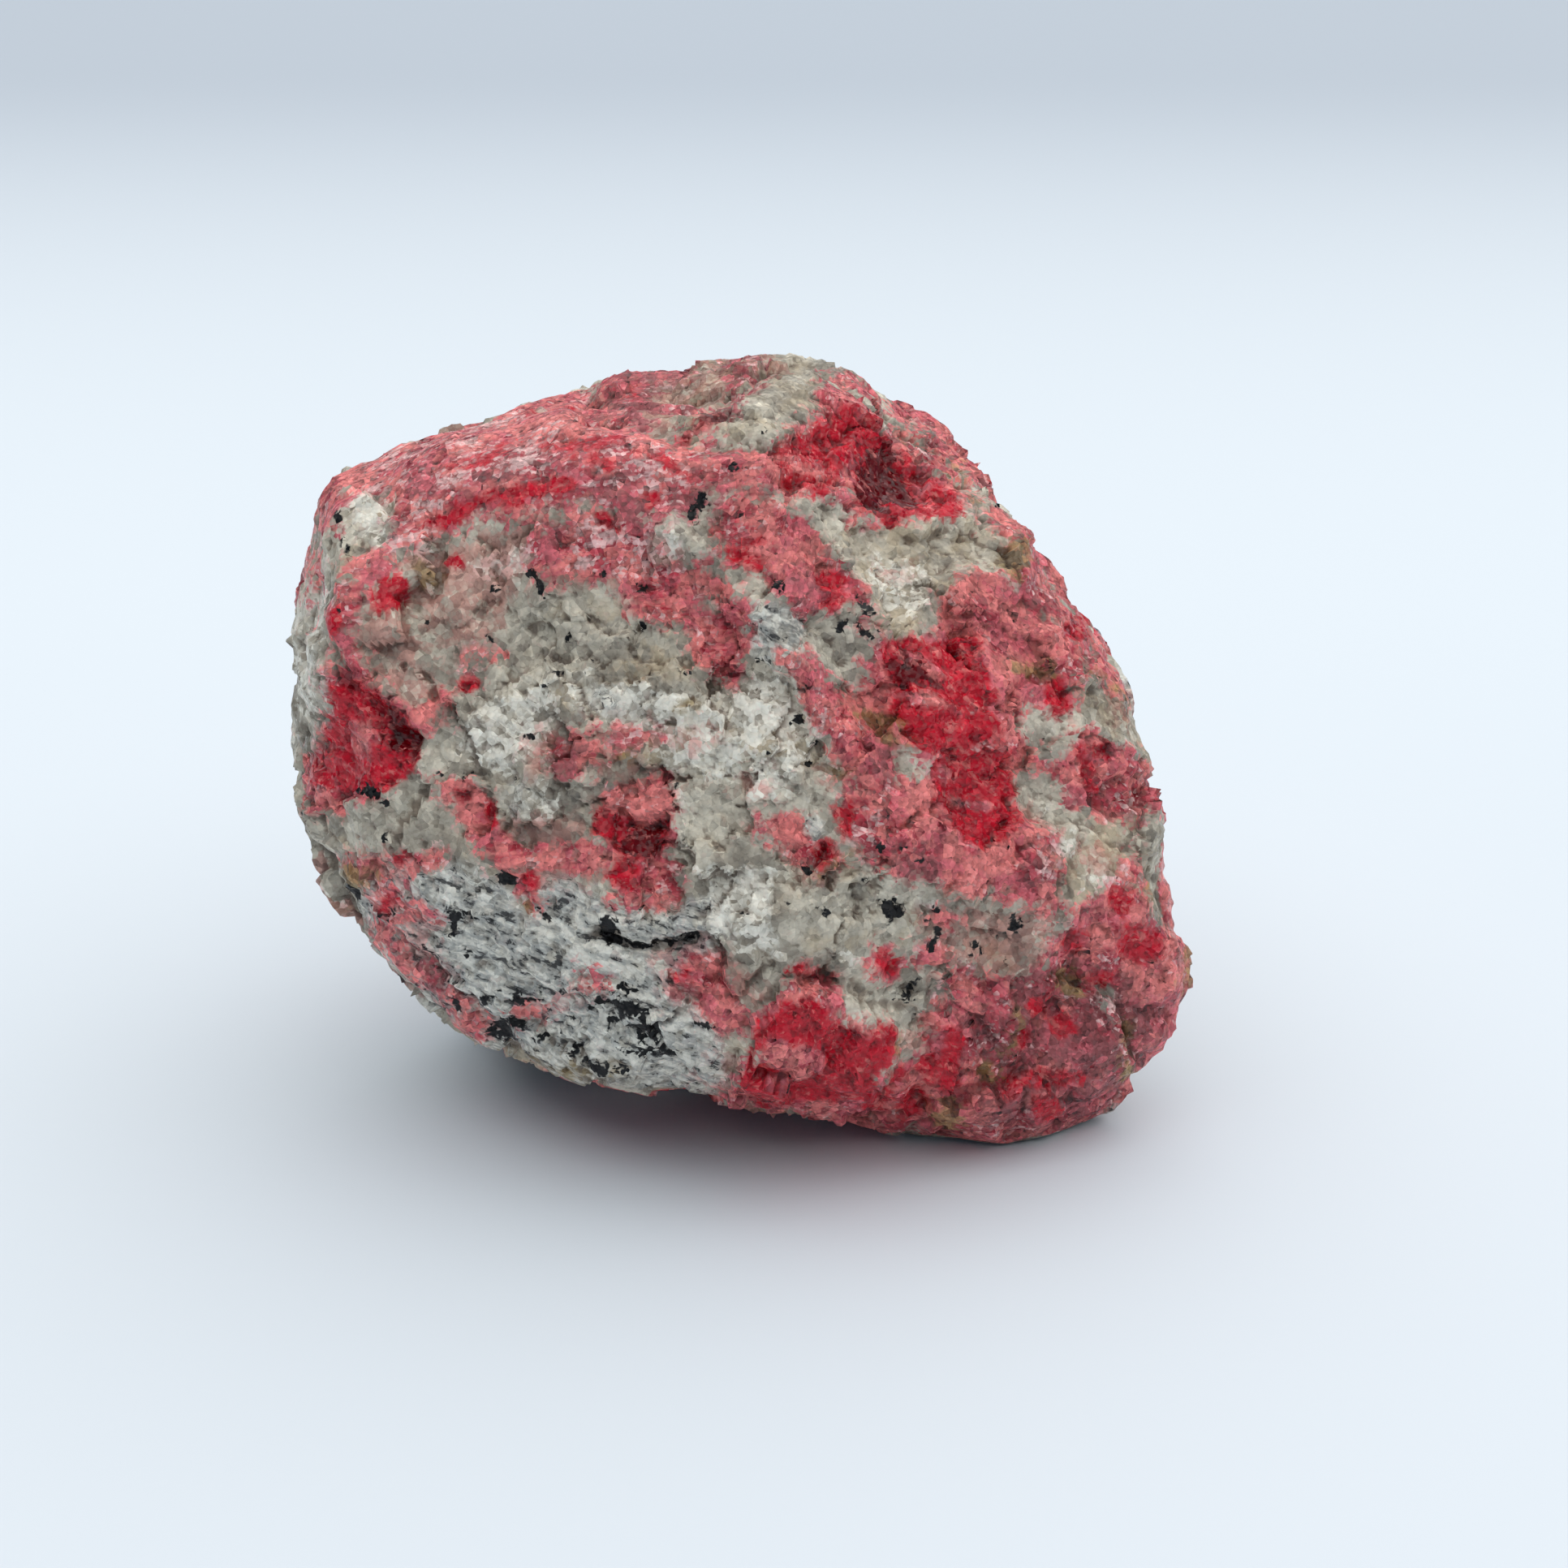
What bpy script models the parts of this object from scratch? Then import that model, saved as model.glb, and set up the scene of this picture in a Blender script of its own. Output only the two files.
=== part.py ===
"""A rough hand specimen of rhodonite in quartz: one broken stone, lying on its flattest side.

The stone is first shaped in its own frame, square on to its broad side: U along the broad side, V up it and
W out of it, with the middle of the stone at zero. It is then leaned back and set down on the ground, with the
origin under the middle of the finished stone. Lengths are in millimetres here and in metres in the mesh.
"""

import math
import random

import bmesh
import bpy
import numpy as np
from mathutils import Matrix, Vector, noise

MM = 0.001

LEAN = 20.0  # degrees that the broad side leans back when the stone lies down
GROUND_DROP = 27.1  # from the middle of the stone down to the ground
GROUND_SNAP = 0.05  # points this near the ground lie on it
GRID = 72  # cells along each side of the cube that the surface starts from
KEPT_SHARE = 0.155  # of the grid's triangles, kept where the shape needs them
CORNER_SHARPNESS = 40.0  # higher means tighter edges where two breaks meet

STONE_COLOUR = (0.42, 0.2, 0.2, 1.0)
STONE_ROUGHNESS = 0.55

# The breaks that bound the stone. Yaw is how far a break faces to the right of the broad side's own
# direction (180 is the back), pitch how far it faces up, and the last value is its distance from the middle.
BREAKS = {
    "left side, rear": (-100, 4, 35.2),
    "left side, front": (-68, 2, 32.6),
    "lower left": (-82, -39, 31.3),
    "lower left, front": (-40, -38, 27.7),
    "underside, left": (-90, -79, 26.8),
    "underside, front": (-4, -62, 28.0),
    "lower right corner": (86, -50, 43.2),
    "right side": (93, 10, 30.5),
    "upper right": (82, 35, 27.4),
    "upper right, front": (40, 36, 26.6),
    "top right": (60, 56, 28.0),
    "top": (150, 80, 31.5),
    "top left": (-30, 71, 28.1),
    "top left corner": (-100, 56, 33.9),
    "shoulder": (-20, 42, 28.9),
    "front": (-6, 1, 21.2),
    "front, right": (30, 10, 23.2),
    "front, low right": (24, -22, 26.0),
    "back": (172, 4, 24.5),
    "back, upper left": (-145, 36, 26.0),
    "back, left": (-132, -6, 28.5),
    "back, right": (128, -10, 28.4),
    "back, low": (168, -38, 28.6),
}

# Small chips knocked off the edges between the breaks
CHIPS = 34
CHIP_DEPTH = (0.3, 1.3)
CHIP_SEED = 11

# Lumps and hollows that stand out from the breaks: yaw, pitch, radius, and height, below zero for a hollow.
RELIEF = {
    "knob at the right": (90, -27, 2.6, 2.2),
    "lump above the foot": (76, -34, 5.0, 1.2),
    "lump beside the foot": (70, -46, 4.5, 1.0),
    "lump behind the foot": (105, -42, 6.0, 1.0),
    "boulder, low front": (19, -47, 5.5, 1.3),
    "hollow beside the boulder": (2, -40, 4.5, -0.7),
    "left lobe": (-55, 15, 5.0, 1.0),
    "hollow under the left lobe": (-64, -3, 4.5, -1.1),
    "hollow beside the left lobe": (-47, 27, 4.0, -0.9),
    "shoulder rim": (-41, 60, 3.5, 0.5),
    "scar at the top": (-18, 70, 5.5, -1.4),
    "hump at the top": (165, 78, 6.0, 0.9),
    "crystal pocket": (46, 50, 3.6, -1.9),
    "rim above the pocket": (25, 58, 4.0, 0.8),
    "quartz hollow": (40, 33, 5.5, -1.5),
    "swell right of the middle": (44, 8, 6.5, 0.9),
    "fold across the middle": (12, 20, 4.5, 0.9),
    "groove beside the fold": (22, 4, 4.0, -1.0),
    "rise left of the middle": (-24, -6, 6.5, 0.5),
    "notch at the top right": (84, 60, 3.4, -2.6),
    "hollow under the front": (-80, -70, 6.5, -2.4),
    "hollow at the right edge": (84, -10, 4.5, -0.9),
    "hollow in the back": (160, 15, 10.0, -1.6),
    "ridge down the back": (-158, -20, 8.0, 1.4),
    "hollow, back right": (118, 20, 7.0, -1.2),
}

SWELL = (15.0, 0.8)  # width and height of the broad unevenness
LUMPINESS = (4.5, 0.75)  # and of the lumps on it
LAYERS_FACE = (30, 64)  # yaw and pitch that the stone's layers face
LAYER = 2.7  # thickness of a layer
LAYER_STEP = 0.75  # how far one layer can stand out beyond the next
STREAKY_CORNER = (-48, -50, 14.0)  # yaw, pitch and reach of the corner where the layers break as ledges


def facing(yaw, pitch):
    """The unit vector in U, V, W that faces that far right and up."""
    yaw, pitch = math.radians(yaw), math.radians(pitch)
    flat = math.cos(pitch)
    return np.array((math.sin(yaw) * flat, math.sin(pitch), math.cos(yaw) * flat))


def reach_of(breaks, directions):
    """How far the rounded block between the breaks reaches along each direction."""
    total = np.zeros(len(directions))
    for normal, distance in breaks:
        total += (np.maximum(directions @ normal, 0.0) / distance) ** CORNER_SHARPNESS
    return total ** (-1.0 / CORNER_SHARPNESS)


def chips(breaks, directions):
    """Further breaks, each a little inside the block's outermost point on its side."""
    points = directions * reach_of(breaks, directions)[:, None]
    dice = random.Random(CHIP_SEED)
    made = []
    for _ in range(CHIPS):
        normal = facing(dice.uniform(-180, 180), dice.uniform(-70, 75))
        made.append((normal, (points @ normal).max() - dice.uniform(*CHIP_DEPTH)))
    return made


def bell(distance, radius):
    return np.exp(-((distance / radius) ** 2))


def relief(points, breaks):
    """The named lumps and hollows, at each point of the block."""
    height = np.zeros(len(points))
    for yaw, pitch, radius, rise in RELIEF.values():
        direction = facing(yaw, pitch)
        centre = direction * reach_of(breaks, direction[None])[0]
        height += rise * bell(np.linalg.norm(points - centre, axis=1), radius)
    return height


def noise_at(points, width):
    return np.array([noise.noise(Vector(p) / width) for p in points])


def ledges(points, breaks):
    """The step of the layer that a point lies in: strong in the streaky corner and faint elsewhere."""
    across = points @ facing(*LAYERS_FACE) / LAYER + 0.9 * noise_at(points, 8.0)
    layer = np.floor(across)
    offsets = {k: noise.cell(Vector((k, 7.3, 1.9))) for k in range(-30, 31)}
    here = np.array([offsets[k] for k in layer])
    above = np.array([offsets[k + 1] for k in layer])
    rise = np.clip((across - layer - 0.7) / 0.3, 0.0, 1.0)
    yaw, pitch, spread = STREAKY_CORNER
    direction = facing(yaw, pitch)
    corner = direction * reach_of(breaks, direction[None])[0]
    share = 0.08 + 0.92 * bell(np.linalg.norm(points - corner, axis=1), spread)
    return LAYER_STEP * share * (here + (above - here) * rise)


def unevenness(points):
    return sum(rise * noise_at(points, width) for width, rise in (SWELL, LUMPINESS))


def cube_grid():
    """A cube of even cells, its points at equal angles as seen from its middle."""
    surface = bmesh.new()
    bmesh.ops.create_cube(surface, size=2.0)
    bmesh.ops.subdivide_edges(
        surface, edges=surface.edges[:], cuts=GRID - 1, use_grid_fill=True
    )
    for vertex in surface.verts:
        vertex.co = Vector([math.tan(c * math.pi / 4) for c in vertex.co]).normalized()
    return surface


def shape(surface):
    """Moves the points of the grid out to the stone's surface, in U, V, W."""
    directions = np.array([vertex.co for vertex in surface.verts])
    breaks = [(facing(yaw, pitch), far) for yaw, pitch, far in BREAKS.values()]
    breaks += chips(breaks, directions)
    reach = reach_of(breaks, directions)
    points = directions * reach[:, None]
    reach += relief(points, breaks) + ledges(points, breaks) + unevenness(points)
    for vertex, point in zip(surface.verts, directions * reach[:, None]):
        vertex.co = point * MM


def set_down(surface):
    """Turns U, V, W to X, Y, Z, with the broad side leaning back, and cuts the stone flat at the ground."""
    lean = math.radians(LEAN)
    turned = Matrix(
        (
            (1, 0, 0),
            (0, math.sin(lean), -math.cos(lean)),
            (0, math.cos(lean), math.sin(lean)),
        )
    )
    for vertex in surface.verts:
        vertex.co = turned @ vertex.co
        vertex.co.z = max(vertex.co.z, -GROUND_DROP * MM)


def thinned(surface):
    """A mesh of the surface with fewer, uneven triangles: small where the stone is rough, large where flat."""
    mesh = bpy.data.meshes.new("dense_stone")
    surface.to_mesh(mesh)
    dense = bpy.data.objects.new("dense_stone", mesh)
    bpy.context.scene.collection.objects.link(dense)
    thin = dense.modifiers.new("thin", "DECIMATE")
    thin.ratio = KEPT_SHARE
    graph = bpy.context.evaluated_depsgraph_get()
    kept = bpy.data.meshes.new_from_object(dense.evaluated_get(graph))
    bpy.data.objects.remove(dense)
    kept.name = "rhodonite_stone"
    return kept


def move_origin(mesh):
    """Puts the origin under the middle of the stone's bounding box, on the ground."""
    for vertex in mesh.vertices:
        if vertex.co.z < (GROUND_SNAP - GROUND_DROP) * MM:
            vertex.co.z = -GROUND_DROP * MM
    points = np.array([vertex.co for vertex in mesh.vertices])
    lowest, highest = points.min(axis=0), points.max(axis=0)
    middle = (lowest + highest) / 2
    mesh.transform(Matrix.Translation((-middle[0], -middle[1], -lowest[2])))


def stone_material():
    """Rose rhodonite and pale quartz taken together, as one even colour."""
    material = bpy.data.materials.new("rhodonite_in_quartz")
    material.use_nodes = True
    shader = material.node_tree.nodes["Principled BSDF"]
    shader.inputs["Base Color"].default_value = STONE_COLOUR
    shader.inputs["Roughness"].default_value = STONE_ROUGHNESS
    shader.inputs["Metallic"].default_value = 0.0
    return material


def build():
    for old in list(bpy.data.objects):
        bpy.data.objects.remove(old)
    surface = cube_grid()
    shape(surface)
    set_down(surface)
    mesh = thinned(surface)
    surface.free()
    move_origin(mesh)
    mesh.materials.append(stone_material())
    stone = bpy.data.objects.new("rhodonite_stone", mesh)
    bpy.context.scene.collection.objects.link(stone)


build()
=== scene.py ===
import math

import bmesh
import bpy
import numpy as np
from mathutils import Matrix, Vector, noise
from mathutils.bvhtree import BVHTree


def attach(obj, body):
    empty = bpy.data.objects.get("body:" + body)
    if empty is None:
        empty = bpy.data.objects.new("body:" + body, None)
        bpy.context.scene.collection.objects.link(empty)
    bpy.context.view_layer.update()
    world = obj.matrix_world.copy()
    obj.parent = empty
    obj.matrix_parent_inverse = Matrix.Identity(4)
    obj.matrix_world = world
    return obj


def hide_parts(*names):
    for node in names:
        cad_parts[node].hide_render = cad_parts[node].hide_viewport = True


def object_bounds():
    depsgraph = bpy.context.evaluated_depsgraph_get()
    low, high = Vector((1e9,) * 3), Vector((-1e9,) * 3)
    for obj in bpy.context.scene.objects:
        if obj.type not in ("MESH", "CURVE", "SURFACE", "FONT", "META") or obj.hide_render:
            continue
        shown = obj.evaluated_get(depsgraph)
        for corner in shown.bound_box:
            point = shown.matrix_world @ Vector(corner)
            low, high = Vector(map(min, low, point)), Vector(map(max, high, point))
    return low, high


# A lump of rhodonite in quartz. The solid stone is made finer, its minerals are laid on it, then its
# small relief, its one material, and the floor and light around it.
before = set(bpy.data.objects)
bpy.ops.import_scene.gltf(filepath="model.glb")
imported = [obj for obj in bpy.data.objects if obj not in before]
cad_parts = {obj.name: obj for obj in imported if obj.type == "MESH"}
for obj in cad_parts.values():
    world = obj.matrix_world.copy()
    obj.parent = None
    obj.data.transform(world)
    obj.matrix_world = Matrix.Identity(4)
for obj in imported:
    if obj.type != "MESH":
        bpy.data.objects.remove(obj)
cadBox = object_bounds()
mm = 0.001
print("frame loaded, stone", [round((high - low) / mm, 1) for low, high in zip(*cadBox)], "mm")

# the camera, and the directions that the stone is described in: right, up and front
view = {
    "pictureSide": 1932,  # the picture is square, and every place on it below is in its pixels
    "lens": 60.0,
    "sensor": 36.0,
    "clipStart": 10 * mm,
    "distance": 204 * mm,
    "rise": 20.0,  # degrees that the camera looks down
    "middle": Vector((-0.314, -0.841, 27.1)) * mm,  # the point that the stone is shaped around
    "aimRight": 3.86 * mm,
    "aimUp": -2.91 * mm,
    "seenFrom": -0.12,  # how squarely a face has to face the camera before its marks begin to count
    "seenOver": 0.2,  # and how much more squarely before they fully count
}
rise = math.radians(view["rise"])
rightWay = Vector((1, 0, 0))
upWay = Vector((0, math.sin(rise), math.cos(rise)))
frontWay = Vector((0, -math.cos(rise), math.sin(rise)))
aim = view["middle"] + rightWay * view["aimRight"] + upWay * view["aimUp"]
eye = aim + frontWay * view["distance"]
pixelsAtOne = view["lens"] / view["sensor"] * view["pictureSide"]
pixelsPerMm = pixelsAtOne / (view["distance"] / mm)

camera = bpy.data.objects.new("camera", bpy.data.cameras.new("camera"))
camera.data.lens = view["lens"]
camera.data.sensor_width = view["sensor"]
camera.data.clip_start = view["clipStart"]
camera.location = eye
camera.rotation_euler = (-frontWay).to_track_quat("-Z", "Y").to_euler()
bpy.context.scene.collection.objects.link(camera)
bpy.context.scene.camera = camera


def placeInPicture(points):
    away = points - np.array(eye)
    depth = -(away @ np.array(frontWay))
    half = view["pictureSide"] / 2
    across = half + pixelsAtOne * (away @ np.array(rightWay)) / depth
    down = half - pixelsAtOne * (away @ np.array(upWay)) / depth
    return np.stack([across, down], axis=1)


# the surface: a cube of even cells blown out until it meets the solid stone
surfaceSettings = {
    "cells": 128,  # along each side of the cube
    "crowding": 0.3,  # draws the cells towards the front, where the crystals are finest
    "settling": 7,  # rounds of smoothing that take the facets off
}


def blownCube():
    grid = bmesh.new()
    bmesh.ops.create_cube(grid, size=2.0)
    bmesh.ops.subdivide_edges(
        grid, edges=grid.edges[:], cuts=surfaceSettings["cells"] - 1, use_grid_fill=True
    )
    mesh = bpy.data.meshes.new("rhodonite")
    grid.to_mesh(mesh)
    grid.free()
    return mesh


def coordinatesOf(mesh):
    flat = np.empty(len(mesh.vertices) * 3, np.float32)
    mesh.vertices.foreach_get("co", flat)
    return flat.reshape(-1, 3).astype(float)


def moveTo(mesh, points):
    mesh.vertices.foreach_set("co", points.astype(np.float32).ravel())
    mesh.update()


def normalsOf(mesh):
    flat = np.empty(len(mesh.vertices) * 3, np.float32)
    mesh.vertex_normals.foreach_get("vector", flat)
    return flat.reshape(-1, 3).astype(float)


def edgesOf(mesh):
    flat = np.empty(len(mesh.edges) * 2, np.int32)
    mesh.edges.foreach_get("vertices", flat)
    return flat.reshape(-1, 2)


def settled(values, edges, rounds):
    ends = np.concatenate([edges[:, 0], edges[:, 1]])
    others = np.concatenate([edges[:, 1], edges[:, 0]])
    share = np.bincount(ends, minlength=len(values))
    for _ in range(rounds):
        around = np.bincount(ends, weights=values[others], minlength=len(values)) / share
        values = (values + around) / 2
    return values


def reachOfStone(directions):
    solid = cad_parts["rhodonite_stone"].data
    solid.calc_loop_triangles()
    corners = [vertex.co for vertex in solid.vertices]
    tree = BVHTree.FromPolygons(corners, [tuple(face.vertices) for face in solid.loop_triangles])
    start = view["middle"]
    return np.array([tree.ray_cast(start, Vector(way))[3] for way in directions])


stoneMesh = blownCube()
cubePlaces = coordinatesOf(stoneMesh)
edges = edgesOf(stoneMesh)
directions = np.tan(cubePlaces * math.pi / 4)
directions /= np.linalg.norm(directions, axis=1)[:, None]
directions += surfaceSettings["crowding"] * np.array(frontWay)
directions /= np.linalg.norm(directions, axis=1)[:, None]
reach = settled(reachOfStone(directions), edges, surfaceSettings["settling"])
points = np.array(view["middle"]) + directions * reach[:, None]
moveTo(stoneMesh, points)
normals = normalsOf(stoneMesh)
towardsEye = np.array(eye) - points
towardsEye /= np.linalg.norm(towardsEye, axis=1)[:, None]
facing = (normals * towardsEye).sum(axis=1)
seen = np.clip((facing - view["seenFrom"]) / view["seenOver"], 0, 1)  # 1 in front, 0 behind
print("surface blown out,", len(points), "points")


farOutside = -60.0  # pixels, for a place that no mark comes near


# distances in the picture from the points at the given places, in pixels and positive inside a mark
def insideArea(at, corners):
    corners = np.array(corners, float)
    nearest = np.full(len(at), np.inf)
    within = np.zeros(len(at), bool)
    across, down = at[:, 0], at[:, 1]
    for (x0, y0), (x1, y1) in zip(corners, np.roll(corners, -1, axis=0)):
        side = np.array((x1 - x0, y1 - y0))
        share = np.clip(((across - x0) * side[0] + (down - y0) * side[1]) / (side @ side), 0, 1)
        gap = np.hypot(across - x0 - share * side[0], down - y0 - share * side[1])
        nearest = np.minimum(nearest, gap)
        crosses = (y0 > down) != (y1 > down)
        slope = side[0] / (side[1] if side[1] else 1.0)
        within ^= crosses & (across < x0 + (down - y0) * slope)
    return np.where(within, nearest, -nearest)


def insideSpot(at, x, y, wide, high, tilt=0):
    turn = math.radians(tilt)  # turns the way a clock's hands do
    across, down = at[:, 0] - x, at[:, 1] - y
    along = (across * math.cos(turn) + down * math.sin(turn)) / (wide / 2)
    over = (down * math.cos(turn) - across * math.sin(turn)) / (high / 2)
    return (1 - np.hypot(along, over)) * min(wide, high) / 2


def fromLine(at, line):
    nearest = np.full(len(at), np.inf)
    for (x0, y0), (x1, y1) in zip(line, line[1:]):
        side = np.array((x1 - x0, y1 - y0), float)
        share = np.clip(((at - (x0, y0)) @ side) / (side @ side), 0, 1)
        nearest = np.minimum(nearest, np.linalg.norm(at - (x0, y0) - share[:, None] * side, axis=1))
    return nearest


# how far inside a mineral's marks the points at those places lie, in mm
def painted(marks, at):
    nearest = np.full(len(at), farOutside)
    for corners in marks.get("areas", {}).values():
        nearest = np.maximum(nearest, insideArea(at, corners))
    for group in marks.get("spots", {}).values():
        for spot in group:
            nearest = np.maximum(nearest, insideSpot(at, *spot))
    for width, line in marks.get("streaks", {}).values():
        nearest = np.maximum(nearest, width / 2 - fromLine(at, line))
    for corners in marks.get("gaps", {}).values():
        nearest = np.minimum(nearest, -insideArea(at, corners))
    return nearest / pixelsPerMm


# What lies where on the broad side, in the picture's pixels. Areas are outlines, spots are x, y, width,
# height and tilt, streaks are a width and the line that they follow, and gaps are outlines left out again.
rose = {
    "areas": {
        "shoulder": [
            (375, 610), (470, 512), (600, 475), (700, 468), (760, 505), (810, 528), (870, 548),
            (880, 600), (850, 640), (800, 640), (740, 625), (700, 628), (640, 645), (600, 640),
            (560, 650), (520, 668), (480, 690), (450, 715), (425, 700), (470, 680), (488, 650),
            (485, 612), (440, 612), (432, 640), (425, 656), (398, 655),
        ],
        "below the shoulder": [
            (655, 655), (700, 640), (760, 625), (830, 640), (800, 655), (820, 700), (780, 708),
            (700, 718), (662, 718), (648, 700),
        ],
        "under the rim": [
            (770, 702), (830, 690), (870, 700), (905, 725), (928, 760), (922, 800), (918, 832),
            (905, 846), (862, 832), (850, 805), (842, 772), (800, 768), (770, 750),
        ],
        "red mass": [
            (880, 625), (930, 610), (962, 620), (995, 645), (1030, 690), (1060, 735), (1066, 772),
            (1045, 762), (1035, 745), (1000, 760), (975, 745), (940, 715), (905, 702), (882, 680),
        ],
        "around the pocket": [
            (860, 550), (900, 552), (940, 545), (985, 525), (1012, 500), (1008, 468), (1040, 460),
            (1072, 480), (1092, 520), (1125, 535), (1150, 562), (1200, 602), (1200, 622), (1150, 632),
            (1128, 646), (1095, 642), (1062, 636), (1030, 612), (962, 612), (900, 602), (862, 600),
        ],
        "top right rim": [
            (1075, 462), (1115, 488), (1150, 528), (1185, 530), (1230, 585), (1262, 640), (1300, 715),
            (1355, 795), (1400, 850), (1405, 872), (1385, 868), (1345, 835), (1330, 800), (1300, 765),
            (1262, 745), (1236, 716), (1258, 692), (1236, 660), (1215, 634), (1240, 628), (1196, 586),
            (1148, 546), (1112, 508),
        ],
        "right slope": [
            (1155, 727), (1188, 710), (1228, 706), (1262, 738), (1300, 760), (1335, 800), (1325, 850),
            (1318, 884), (1295, 880), (1268, 850), (1262, 900), (1300, 945), (1252, 960), (1262, 1000),
            (1290, 1030), (1296, 1100), (1280, 1125), (1255, 1108), (1200, 1100), (1160, 1088),
            (1110, 1086), (1060, 1055), (1038, 1010), (1035, 950), (1010, 905), (985, 865), (972, 818),
            (990, 815), (1040, 858), (1062, 850), (1072, 800), (1078, 778), (1100, 795), (1150, 775),
            (1152, 752),
        ],
        "far right": [
            (1270, 915), (1310, 940), (1325, 905), (1345, 902), (1392, 925), (1420, 960), (1415, 1000),
            (1398, 1015), (1365, 1008), (1325, 992), (1300, 955),
        ],
        "foot": [
            (1165, 1206), (1200, 1196), (1250, 1208), (1288, 1190), (1300, 1150), (1330, 1118),
            (1365, 1100), (1385, 1050), (1408, 1050), (1404, 1105), (1440, 1140), (1495, 1150),
            (1495, 1240), (1450, 1400), (1290, 1425), (1140, 1410), (1138, 1300), (1152, 1256),
            (1180, 1240),
        ],
        "boulder": [
            (928, 1275), (936, 1250), (965, 1230), (985, 1192), (1008, 1200), (1035, 1216), (1030, 1245),
            (1062, 1256), (1094, 1262), (1100, 1294), (1072, 1300), (1066, 1320), (1105, 1318),
            (1150, 1300), (1150, 1400), (1050, 1392), (1000, 1366), (930, 1356), (893, 1336), (905, 1310),
            (940, 1304),
        ],
        "middle": [
            (735, 1000), (748, 966), (790, 966), (822, 952), (832, 1000), (824, 1050), (835, 1085),
            (835, 1120), (800, 1118), (760, 1108), (748, 1072), (700, 1070), (640, 1074), (655, 1100),
            (680, 1116), (662, 1122), (640, 1104), (612, 1075), (600, 1055), (570, 1025), (546, 990),
            (530, 964), (574, 960), (600, 986), (612, 1022), (652, 1045), (700, 1036), (740, 1042),
        ],
        "left patch": [
            (405, 828), (425, 810), (442, 824), (480, 860), (522, 903), (506, 950), (470, 985),
            (440, 995), (402, 1008), (360, 990), (360, 950), (392, 905), (410, 870),
        ],
        "beside the middle": [
            (928, 1012), (950, 996), (985, 1004), (1010, 1035), (1040, 1050), (1040, 1070), (1005, 1062),
            (960, 1056), (940, 1040),
        ],
        "behind the shoulder": [
            (735, 505), (735, 465), (800, 445), (850, 430), (858, 462), (805, 482), (800, 505),
            (770, 516),
        ],
        "above the boulder": [
            (828, 1182), (872, 1176), (900, 1190), (912, 1238), (935, 1250), (925, 1276), (880, 1268),
            (850, 1240), (832, 1218),
        ],
    },
    "spots": {
        "hump": [(920, 452, 54, 34)],
        "left corner": [(384, 700, 12, 44)],
        "lobe": [(590, 806, 36, 16, -10), (575, 838, 22, 20)],
        "front": [(706, 930, 70, 50), (780, 905, 60, 26)],
        "streaky corner": [(655, 1245, 34, 20)],
        "dark seams": [(730, 1208, 34, 28)],
        "low quartz": [(1092, 1188, 50, 44)],
        "above the foot": [(1160, 1135, 36, 30), (1150, 1180, 40, 36)],
        "right side": [(1290, 1080, 40, 90)],
    },
    "streaks": {
        "up the hump": (15, [(828, 528), (880, 512), (915, 486), (942, 452)]),
        "lower left edge": (26, [(440, 1062), (472, 1085), (482, 1118), (530, 1126)]),
        "across the lower left": (20, [(478, 1058), (500, 1066), (535, 1056)]),
        "rim of the lobe": (30, [
            (470, 700), (440, 730), (430, 770), (434, 810), (455, 850), (490, 880), (528, 884),
            (545, 866),
        ]),
        "along the fold": (34, [(980, 815), (1010, 850), (1040, 900), (1062, 960), (1085, 1010)]),
        "low edge": (22, [
            (462, 1142), (490, 1165), (508, 1188), (545, 1215), (570, 1245), (592, 1275),
        ]),
    },
    "gaps": {
        "quartz in the slope": [
            (1105, 930), (1120, 922), (1145, 928), (1142, 948), (1120, 953), (1106, 946),
        ],
        "upper chip in the band": [(860, 736), (876, 736), (884, 758), (872, 762), (862, 750)],
        "lower chip in the band": [(920, 778), (935, 774), (946, 800), (940, 816), (922, 806)],
        "chip in the foot": [(1355, 1222), (1368, 1220), (1373, 1242), (1362, 1246)],
        "under the lip": [(525, 700), (600, 700), (605, 770), (560, 760), (510, 770)],
    },
}
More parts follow.
